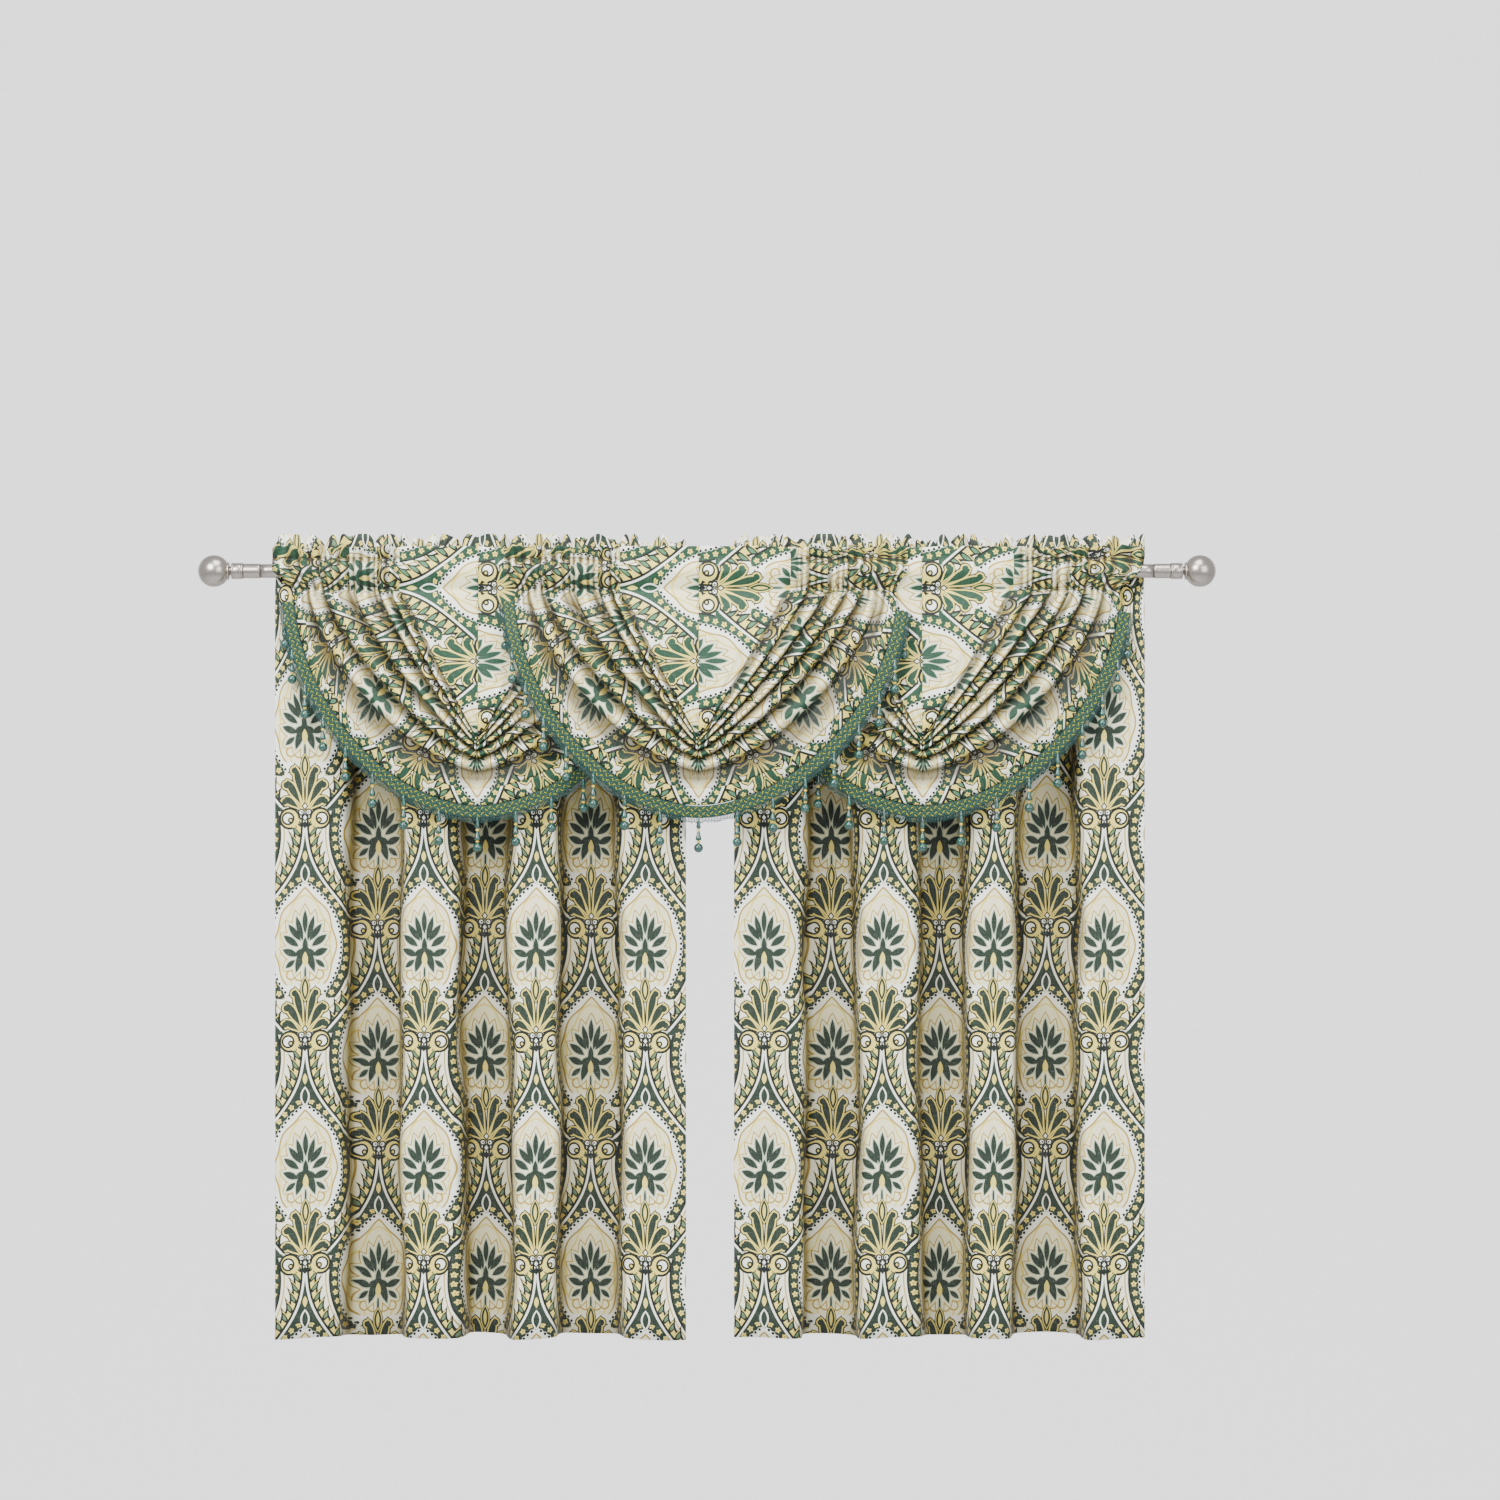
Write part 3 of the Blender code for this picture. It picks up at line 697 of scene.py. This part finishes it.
def swag_rows(c):
    """The table's columns at fractional rows c: straight between rows, but a fold's height rises from its
    creases to its crest as the 0.8 power of a sine."""
    rows = np.arange(len(SWAG_LINES))
    picked = {key: np.interp(c, rows, SWAG_LINES[:, i]) for i, key in enumerate(SWAG_COLUMNS)}
    from_crease = 1 - np.abs((c - FIRST_CREASE) % 2 - 1)
    weight = np.where(c > FIRST_CREASE, np.sin(np.pi / 2 * from_crease) ** 0.8, 0)
    low_rows = np.concatenate([rows[:FIRST_CREASE], rows[FIRST_CREASE::2]])
    high_rows = np.concatenate([rows[:FIRST_CREASE], rows[FIRST_CREASE + 1 :: 2]])
    for key in ("ruffle", "belly", "out"):
        values = SWAG_LINES[:, SWAG_COLUMNS.index(key)]
        low = np.interp(c, low_rows, values[low_rows])
        high = np.interp(c, high_rows, values[high_rows])
        picked[key] = low + (high - low) * weight
    return picked, weight


def trim_level(x, z):
    """How far out a place is on the middle swag: under 1 inside its trimmed edge, over 1 outside."""
    edge = dict(zip(SWAG_COLUMNS, SWAG_LINES[-1]))
    away = x - VALANCE_CENTRES["valance_centre"]
    half = np.where(away < 0, edge["left"], edge["right"]) * MM
    fall = np.clip(STITCH_LOW - z, 0, None)
    return (np.abs(away) / half) ** edge["bend"] + (fall / (edge["drop"] * MM + STITCH_LOW)) ** edge["bend"]


def cover(x, z):
    """1 where the middle swag and its trim lie over the others, 0 well outside."""
    return smooth_step((COVER_END - trim_level(x, z)) / (COVER_END - COVER_FULL))


def settled_out(name, x, z, out):
    """The middle swag stands forward of the others, which lie flat where it covers them."""
    fall = np.clip(STITCH_LOW - z, 0, None)
    if name == "valance_centre":
        return out + FRONT_STEP + FRONT_STAND * smooth_step(fall / FRONT_STAND_BELOW)
    pressed = np.minimum(out, STITCH_OUT + PRESSED_SLOPE * fall)
    return out + (pressed - out) * cover(x, z)


def gather_wave(c, along, seed):
    """Small upright gathers, 13 mm apart, where the cloth is drawn up on the pole: 0 to 1."""
    amount = smooth_step((c - FIRST_CREASE + 0.4) / 0.8)
    wander = 0.35 * unevenness(along, seed, (0.09, 0.047))
    return amount * (0.5 + 0.5 * np.sin(2 * np.pi * (along / 0.0132 + wander)))


def swag_body(name, side, c, t, seed):
    """A place on the swag: line c is a quarter of a superellipse from the pocket, t = 0, to the middle."""
    row, weight = swag_rows(c)
    lean = FOLD_LEAN * weight * (c < EDGE_ROW - 1) * 4 * t * (1 - t)
    leaned, _ = swag_rows(np.clip(c + lean, 0, EDGE_ROW))
    power = 2 / leaned["bend"]
    turn = t * np.pi / 2
    along = leaned[side] * MM * np.clip(np.cos(turn), 0, None) ** power
    depth = (leaned["drop"] * MM + STITCH_LOW) * np.sin(turn) ** power
    start = STITCH_OUT + row["ruffle"] * MM * 0.6 * smooth_step(t * 6) * (1 - t)
    out = start * (1 - t) ** 2 + row["belly"] * MM * 4 * t * (1 - t) + row["out"] * MM * t * t
    pucker = np.exp(-t / 0.13) * smooth_step(t / 0.03 + 0.35)
    out = out + 5.5 * MM * gather_wave(c, row[side] * MM, seed) * pucker
    pleat = np.clip((c - 0.9) / 2.1, 0, 1)
    out = out + 5 * MM * np.sin(3 * np.pi * pleat) ** 2 * smooth_step((t - 0.35) / 0.5) * (1 - 0.4 * t)
    sign = -1 if side == "left" else 1
    x = VALANCE_CENTRES[name] + sign * along
    z = STITCH_LOW - depth
    return np.stack(np.broadcast_arrays(x, -settled_out(name, x, z, out), z), axis=-1)


def swag_head(name, side, c, height, seed):
    """A place on the pocket or the header above it: the pocket's wall, with gathers and a top ruffle."""
    row, _ = swag_rows(c)
    rise = (height - STITCH_LOW) / (VALANCE_TOP - STITCH_LOW)
    along = row[side] * MM + POCKET_FLARE[name] * smooth_step(rise * 2) * (c / EDGE_ROW) ** 6
    sign = -1 if side == "left" else 1
    x = VALANCE_CENTRES[name] + sign * along
    above = smooth_step((height - STITCH_TOP) / (VALANCE_TOP - STITCH_TOP))
    across = np.clip((height - STITCH_LOW) / (STITCH_TOP - STITCH_LOW), 0, 1)
    wave = gather_wave(c, row[side] * MM, seed)
    belly = np.sin(np.pi * across) ** 0.6 * (0.3 * row["ruffle"] + 5.0 * wave) * MM
    swing = 1.5 * unevenness(along, seed + 5, (0.13, 0.083))
    loose = (0.5 + 0.5 * np.sin(2 * np.pi * along / 0.044 + swing)) ** 1.5 * smooth_step((c - 2.4) / 2)
    near_stitch = np.exp(-np.clip(height - STITCH_TOP, 0, None) / 0.02) * (height > STITCH_TOP)
    ruffle = above * (0.5 * row["ruffle"] + 11 * loose + 2 * wave) * MM + near_stitch * 7 * wave * MM
    free = 1.0 if name == "valance_centre" else 1 - cover(x, STITCH_LOW)
    step = FRONT_STEP if name == "valance_centre" else 0.0
    out = pocket_out(height) + step + (belly + ruffle) * free
    bumps = 0.6 * unevenness(along, seed + 8, (0.061, 0.11)) + 1.1 * loose - 1.0 + 0.35 * wave
    lift = above * 6 * bumps * smooth_step((c - 2) / 2) * free * MM
    lowered = above * 3 * MM * (1 - free)
    return np.stack(np.broadcast_arrays(x, -out, height + lift - lowered), axis=-1)


def shade_in_gathers(side, c, share, seed):
    """Painted shade in the gathers: 0 on their crests, share in their troughs."""
    row, _ = swag_rows(c)
    return (1 - gather_wave(c, row[side] * MM, seed)) * smooth_step((c - FIRST_CREASE) / 1.2) * share


def path_length(points, axis):
    """How far each place lies along its line of points: the running sum of the steps from its first."""
    steps = np.linalg.norm(np.diff(points, axis=axis), axis=-1)
    return np.insert(steps.cumsum(axis), 0, 0, axis=axis)


def valance_cloth(name, seed):
    """A valance's grid, the UVs of its runs of columns, and its painted shade: in the creases, on the rolls'
    under sides and in the gathers.

    Rows run left header, middle, right header, and columns run from the seam to the edge. A run's UV is
    the length along its held column and the length across from it. The run beside the seam lies nearly
    flat, so its UV is the place seen from the front.
    """
    c = np.linspace(0, EDGE_ROW, EDGE_ROW * FINE_COLUMNS + 1)[None, :]
    t = np.linspace(0, 1, BODY_ROWS + 1)[:, None]
    head = HEAD_HEIGHTS[:, None]
    halves = (("left", seed), ("right", seed + RIGHT_SEED))
    left, right = (
        np.concatenate([swag_head(name, side, c, head, key), swag_body(name, side, c, t, key)])
        for side, key in halves
    )
    points = np.concatenate([left, right[::-1][1:]])
    middle = len(left) - 1
    down = path_length(points, 0)
    down = down - down[middle]
    over = path_length(points, 1)
    runs = []
    for first, last, held, *places in FOLD_FACES:
        start, stop, fixed = (FINE_COLUMNS * row for row in (first, last, held))
        for place, rows in zip(places, (slice(0, middle + 1), slice(middle, len(points)))):
            held_at = place * MM - PATTERN_FROM_EDGE
            out_from_seam = held_at + over[rows] - over[rows, fixed : fixed + 1]
            along = down[rows, fixed : fixed + 1]
            if first == 0:
                sign = 1 if rows.start else -1
                out_from_seam = held_at + sign * (points[rows, :, 0] - VALANCE_CENTRES[name])
                along = points[middle, 0, 2] - points[rows, :, 2]
            uv = np.stack(np.broadcast_arrays(along, out_from_seam), axis=-1)[:, start : stop + 1]
            runs.append((rows.start, rows.stop - 1, start, stop, uv))
    _, weight = swag_rows(c)
    t_all = np.concatenate([np.zeros((len(HEAD_HEIGHTS), 1)), t])
    t_all = np.concatenate([t_all, t_all[::-1][1:]])
    # Painted shade in the gathers: stronger at the pocket's stitch lines, weaker above them, fading below the
    # pocket
    head_shade_share = 0.65 + np.exp(-np.abs(head - STITCH_TOP) / 0.007) + np.exp(-np.abs(head - STITCH_LOW) / 0.012)
    head_shade_share = np.where(head > STITCH_TOP + 0.004, head_shade_share - 0.3, head_shade_share)
    painted_gather_shade = [
        np.concatenate([shade_in_gathers(side, c, head_shade_share, key), shade_in_gathers(side, c, 1.1 * np.exp(-t / 0.1), key)])
        for side, key in halves
    ]
    painted_gather_shade = np.concatenate([painted_gather_shade[0], painted_gather_shade[1][::-1][1:]])
    # Painted shade in the creases between the rolls and on the under side of each roll, weaker at the pocket
    crease = smooth_step(1.5 - 1.5 * weight) * (c > FIRST_CREASE - 0.2) * (c < 14.2)
    underside_shade = 0.5 * smooth_step(np.sin(np.pi * (c - FIRST_CREASE))) * (c > FIRST_CREASE) * (c < 14)
    depth = np.clip(crease + underside_shade, 0, 1) * smooth_step(t_all * 4 + 0.25) * 0.85
    depth = np.clip(depth + 0.9 * painted_gather_shade, 0, 1)
    return points, runs, depth


swag_damask = damask_material(
    "swag_damask",
    leaf_green=linear(26, 66, 46),
    leaflet_green=linear(78, 126, 92),
    leaf_reach=1.4,
    shade=linear(82, 72, 38),
)
for name, seed in VALANCE_SEEDS.items():
    points, runs, depth = valance_cloth(name, seed)
    valance = grid_cloth(f"{name}_cloth", points, runs, swag_damask, depth, CLOTH)
    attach(valance, "root")
    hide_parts(name)


# ---- The braid trims ----
# A woven band is stitched along each valance's curved edge: two flat three-strand plaits of viscose cord
# side by side on a tape, a thin cord along each edge, and a row of short thread loops below.

TRIM_WIDE = 24 * MM
TRIM_GAP = 1.2 * MM
# Where a braid starts: as in the solids, 0.35 of the first of their 8 rows below the pocket
TRIM_START = 0.35 / 8
PLAIT_PITCH = 15 * MM
PLAIT_MIDDLES = (6.6 * MM, 17.4 * MM)
THREAD_GREEN = linear(4, 62, 50)
THREAD_TEAL = linear(4, 56, 54)
THREAD_LIME = linear(164, 160, 24)
THREAD_DARK = linear(2, 28, 26)
# The three strands of a plait: colour, half width
PLAIT_STRANDS = ((THREAD_LIME, 0.9 * MM), (THREAD_GREEN, 2.2 * MM), (THREAD_GREEN, 2.2 * MM))


def edge_path(name, seed, step):
    """Places along a valance's trimmed edge, step apart from its middle.

    Also the run, off-cloth and front directions there, and how far each place is from the middle.
    """
    t = np.linspace(TRIM_START, 1, 700)
    edge = np.full_like(t, float(EDGE_ROW))
    left = swag_body(name, "left", edge, t, seed)
    right = swag_body(name, "right", edge, t, seed + RIGHT_SEED)[::-1][1:]
    dense = np.concatenate([left, right])
    length = path_length(dense, 0)
    middle = length[len(left) - 1]
    each_way = int(min(middle, length[-1] - middle) / step)
    at = step * np.arange(-each_way, each_way + 1)
    wanted = middle + at
    places = np.stack([np.interp(wanted, length, dense[:, i]) for i in range(3)], axis=-1)
    run = np.gradient(places, axis=0)
    run /= np.linalg.norm(run, axis=1, keepdims=True)
    off = np.stack([run[:, 2], np.zeros(len(run)), -run[:, 0]], axis=-1)
    off *= np.sign((off * (places - (VALANCE_CENTRES[name], 0, STITCH_LOW))).sum(1, keepdims=True))
    off /= np.linalg.norm(off, axis=1, keepdims=True)
    front = np.cross(run, off)
    front *= -np.sign(front[:, 1:2])
    front /= np.linalg.norm(front, axis=1, keepdims=True)
    return places, run, off, front, at


def tubes(paths, wide, thick, sides):
    """Cords along paths of the shape (cords, places, 3): the points and the faces, ends capped.

    Round each place lies a ring of points: an ellipse of half axes wide and thick.
    """
    run = np.gradient(paths, axis=1)
    run /= np.linalg.norm(run, axis=2, keepdims=True)
    sideways = np.cross(run, (0.0, 1.0, 0.0))
    sideways /= np.linalg.norm(sideways, axis=2, keepdims=True)
    outward = np.cross(sideways, run)
    angle = np.linspace(0, 2 * np.pi, sides, endpoint=False)[None, None, :, None]
    rings = (
        paths[:, :, None]
        + sideways[:, :, None] * wide * np.cos(angle)
        + outward[:, :, None] * thick * np.sin(angle)
    )
    return rings.reshape(-1, 3), ring_faces(*paths.shape[:2], sides)


def joined_object(name, parts, own_material):
    """One object from several (points, face groups, colour) parts, each part's colour in an attribute."""
    points, groups, colours, count = [], [], [], 0
    for part_points, part_groups, colour in parts:
        groups += [group + count for group in part_groups]
        points.append(part_points)
        colours.append(np.broadcast_to(np.array(colour), (len(part_points), 4)))
        count += len(part_points)
    piece = mesh_object(name, np.concatenate(points), groups)
    attribute = piece.data.attributes.new("thread_colour", "FLOAT_COLOR", "POINT")
    attribute.data.foreach_set("color", np.concatenate(colours).astype(np.float32).ravel())
    piece.data.materials.append(own_material)
    return piece


def thread_material():
    """Viscose thread: the cord's own colour, with fine strands in the tone and the bump."""
    made, shader, coordinates = new_material("braid_thread", {"Specular IOR Level": 0.35})
    place = Wire(coordinates.outputs["Object"])
    own = place.node("Attribute", {"attribute_name": "thread_colour"}, {})
    strands = place.noise(1400.0)
    colour = (((strands - 0.4) * 1.2).most(0.0) * 0.16).paint(own, linear(214, 226, 196))
    bump = strands.bump(0.4, 0.0004)
    connect(shader, {"Base Color": colour, "Roughness": strands * 0.2 + 0.4, "Normal": bump})
    return made


def braid_parts(name, seed):
    """The tape, the two plaits, the edge cords and the loops of one trim, as parts to join.

    A plait's strand swings across by a sine and in depth by the sine of twice its phase.
    """
    places, _, off, front, at = edge_path(name, seed, 1.5 * MM)
    origin = places + off * TRIM_GAP
    rows = np.linspace(0, TRIM_WIDE, 5)[None, :, None]
    tape_front = origin[:, None] + off[:, None] * rows - front[:, None] * 0.2 * MM
    tape_back = tape_front - front[:, None] * 1.2 * MM
    ring = np.concatenate([tape_front, tape_back[:, ::-1]], axis=1)
    parts = [(ring.reshape(-1, 3), ring_faces(1, *ring.shape[:2]), THREAD_DARK)]

    for middle in PLAIT_MIDDLES:
        for i, (colour, wide) in enumerate(PLAIT_STRANDS):
            phase = 2 * np.pi * (at / PLAIT_PITCH + i / 3)
            swing = (middle + 3.6 * MM * np.sin(phase))[:, None]
            rise = (1.5 * MM + 0.75 * MM * np.sin(2 * phase))[:, None]
            path = origin + off * swing + front * rise
            parts.append((*tubes(path[None], wide, 0.9 * MM, 5), colour))
    for middle in (1.0 * MM, TRIM_WIDE / 2, TRIM_WIDE - 1.0 * MM):
        path = origin + off * middle + front * 1.3 * MM
        parts.append((*tubes(path[None, ::2], 1.1 * MM, 1.0 * MM, 5), THREAD_TEAL))

    places, run, off, front, _ = edge_path(name, seed, 2.7 * MM)
    bend = np.linspace(-1, 1, 7)[None, :, None]
    hang = off + np.array((0, 0, -0.6))
    hang /= np.linalg.norm(hang, axis=1, keepdims=True)
    spread = np.random.default_rng(seed).uniform(0.75, 1.2, len(places))[:, None, None]
    drop = (1 - bend**2) * 10 * MM * spread
    loops = (
        (places + off * (TRIM_GAP + TRIM_WIDE - 0.8 * MM))[:, None]
        + run[:, None] * np.sin(bend * 2.2) * 1.9 * MM
        + hang[:, None] * drop
        + front[:, None] * (0.6 * MM)
    )
    parts.append((*tubes(loops, 0.95 * MM, 0.8 * MM, 3), THREAD_TEAL))
    return parts


thread = thread_material()
for name, seed in VALANCE_SEEDS.items():
    braid = joined_object(name.replace("valance", "trim") + "_braid", braid_parts(name, seed), thread)
    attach(braid, "root")
    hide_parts(name.replace("valance", "trim"))


# ---- The bead drops ----
# From the band's lower edge hang glass bead drops, 72 mm apart: a long tapered bead, a bell bead and a
# ball, all sea green, strung on thread with a small straw-yellow bead between each two.

DROP_PITCH = 0.072
DROP_ROOT = 2 * MM
BALL_DEPTH = 62.5 * MM
BALL_CLEAR = {"valance_left": 11 * MM, "valance_centre": 24 * MM, "valance_right": 11 * MM}
COVERED_DROPS = 1.06
GLASS_GREEN = linear(8, 60, 52)
GLASS_STRAW = linear(216, 186, 60)
# In mm: depth below the band's edge, radius, and 1 where the bead is straw yellow
DROP_PROFILE = (
    (-3.0, 0.8, 0), (0.5, 0.8, 0), (1.0, 2.0, 0), (8.0, 2.8, 0), (16.0, 4.0, 0), (21.0, 4.8, 0),
    (23.5, 4.2, 0), (24.6, 1.6, 0), (25.0, 1.6, 1), (25.8, 3.2, 1), (27.5, 3.9, 1), (29.2, 3.2, 1),
    (30.0, 1.6, 1), (30.2, 1.6, 0), (31.0, 2.8, 0), (37.0, 4.2, 0), (42.0, 5.6, 0), (45.0, 6.2, 0),
    (47.0, 5.4, 0), (48.0, 1.8, 0), (48.2, 1.8, 1), (49.0, 3.4, 1), (50.4, 4.0, 1), (51.8, 3.4, 1),
    (52.6, 1.8, 1),
)
# The ball's radius and the drop's sides, and the ball's first and last angle round its middle
BALL_BEAD_R = 9.5
DROP_SIDES = 12
BALL_ARC = (0.17, np.pi - 0.05)


def drop_parts(name, seed):
    """Every drop of one valance: the profile turned about its thread, leaning out to rest on the cloth.

    The outer valances have no drops where the middle one covers their edge.
    """
    places, _, off, front, _ = edge_path(name, seed, DROP_PITCH)
    roots = places + off * (TRIM_WIDE - DROP_ROOT) + front * 0.5 * MM
    if name != "valance_centre":
        roots = roots[trim_level(places[:, 0], places[:, 2]) > COVERED_DROPS]
    arc = np.linspace(*BALL_ARC, 13)
    ball = [BALL_DEPTH / MM - BALL_BEAD_R * np.cos(arc), BALL_BEAD_R * np.sin(arc), np.zeros(13)]
    profile = np.concatenate([DROP_PROFILE, np.stack(ball, axis=-1)])
    turn = np.linspace(0, 2 * np.pi, DROP_SIDES, endpoint=False)
    depth, radius = profile[:, :1] * MM, profile[:, 1:2] * MM
    ring = np.stack([radius * np.cos(turn), radius * np.sin(turn), np.repeat(-depth, DROP_SIDES, 1)], axis=-1)
    lean = np.clip(roots[:, 1] + BALL_CLEAR[name], 0, None) / BALL_DEPTH
    shapes = np.repeat(ring[None], len(roots), 0)
    shapes[..., 1] += lean[:, None, None] * shapes[..., 2]
    shapes += roots[:, None, None]
    groups = [faces[:, ::-1] for faces in ring_faces(*shapes.shape[:3])]
    colours = np.where(profile[None, :, 2, None, None] > 0, GLASS_STRAW, GLASS_GREEN)
    colours = np.broadcast_to(colours, shapes.shape[:3] + (4,)).reshape(-1, 4)
    return [(shapes.reshape(-1, 3), groups, colours)]


def bead_material():
    """Polished glass beads: the bead's own colour with cloudy depth, under a clear coat."""
    made, shader, coordinates = new_material(
        "bead_glass", {"Roughness": 0.12, "Coat Weight": 0.7, "Coat Roughness": 0.05, "Specular IOR Level": 0.6}
    )
    place = Wire(coordinates.outputs["Object"])
    own = place.node("Attribute", {"attribute_name": "thread_colour"}, {})
    cloud = ((place.noise(260.0) - 0.42) * 1.6).most(0.0)
    connect(shader, {"Base Color": (cloud * 0.4).paint(own, linear(96, 164, 150))})
    return made


glass = bead_material()
for name, seed in VALANCE_SEEDS.items():
    drops = joined_object(name.replace("valance", "trim") + "_beads", drop_parts(name, seed), glass)
    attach(drops, "root")
    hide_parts(name.replace("valance", "trim"))


# ---- The room ----
# A pale floor 4 m below the pole and a wall 12 m behind it, far enough not to hide the part from the
# back, with one large soft light on each side and one above.


def plane(name, corners, glow):
    """A flat four-cornered stage piece in pale grey; glow is how much light of its own it gives."""
    made, shader, _ = new_material(name, {"Base Color": linear(226, 226, 228), "Roughness": 0.9})
    shader.inputs["Emission Color"].default_value = linear(250, 250, 252)
    shader.inputs["Emission Strength"].default_value = glow
    piece = mesh_object(name, np.array(corners), [np.array([[0, 1, 2, 3]])])
    piece.data.materials.append(made)


plane("floor", ((-14, -14, -4), (14, -14, -4), (14, 12, -4), (-14, 12, -4)), 0.0)
plane("wall", ((-14, 12, -4), (14, 12, -4), (14, 12, 6), (-14, 12, 6)), 1.15)

camera_data = bpy.data.cameras.new("camera")
camera_data.lens = 108
camera = bpy.data.objects.new("camera", camera_data)
camera.location = (0.086, -9.0, -0.358)
camera.rotation_euler = (math.pi / 2, 0, 0)
bpy.context.scene.collection.objects.link(camera)
bpy.context.scene.camera = camera

for name, place, size, power in (
    ("key", (-2.6, -4.2, 2.4), 2.6, 430),
    ("fill", (3.2, -4.6, 1.2), 3.4, 170),
    ("top", (0.3, -1.6, 3.2), 2.2, 140),
):
    light_data = bpy.data.lights.new(name, "AREA")
    light_data.size = size
    light_data.energy = power
    light = bpy.data.objects.new(name, light_data)
    light.location = place
    target = np.array((0.0, 0.0, -0.6)) - np.array(place)
    light.rotation_euler = (
        math.acos(-target[2] / np.linalg.norm(target)), 0, math.atan2(target[1], target[0]) - math.pi / 2
    )
    bpy.context.scene.collection.objects.link(light)

world = bpy.context.scene.world or bpy.data.worlds.new("world")
bpy.context.scene.world = world
world.use_nodes = True
world.node_tree.nodes["Background"].inputs[0].default_value = (0.9, 0.9, 0.91, 1)
world.node_tree.nodes["Background"].inputs[1].default_value = 1.0
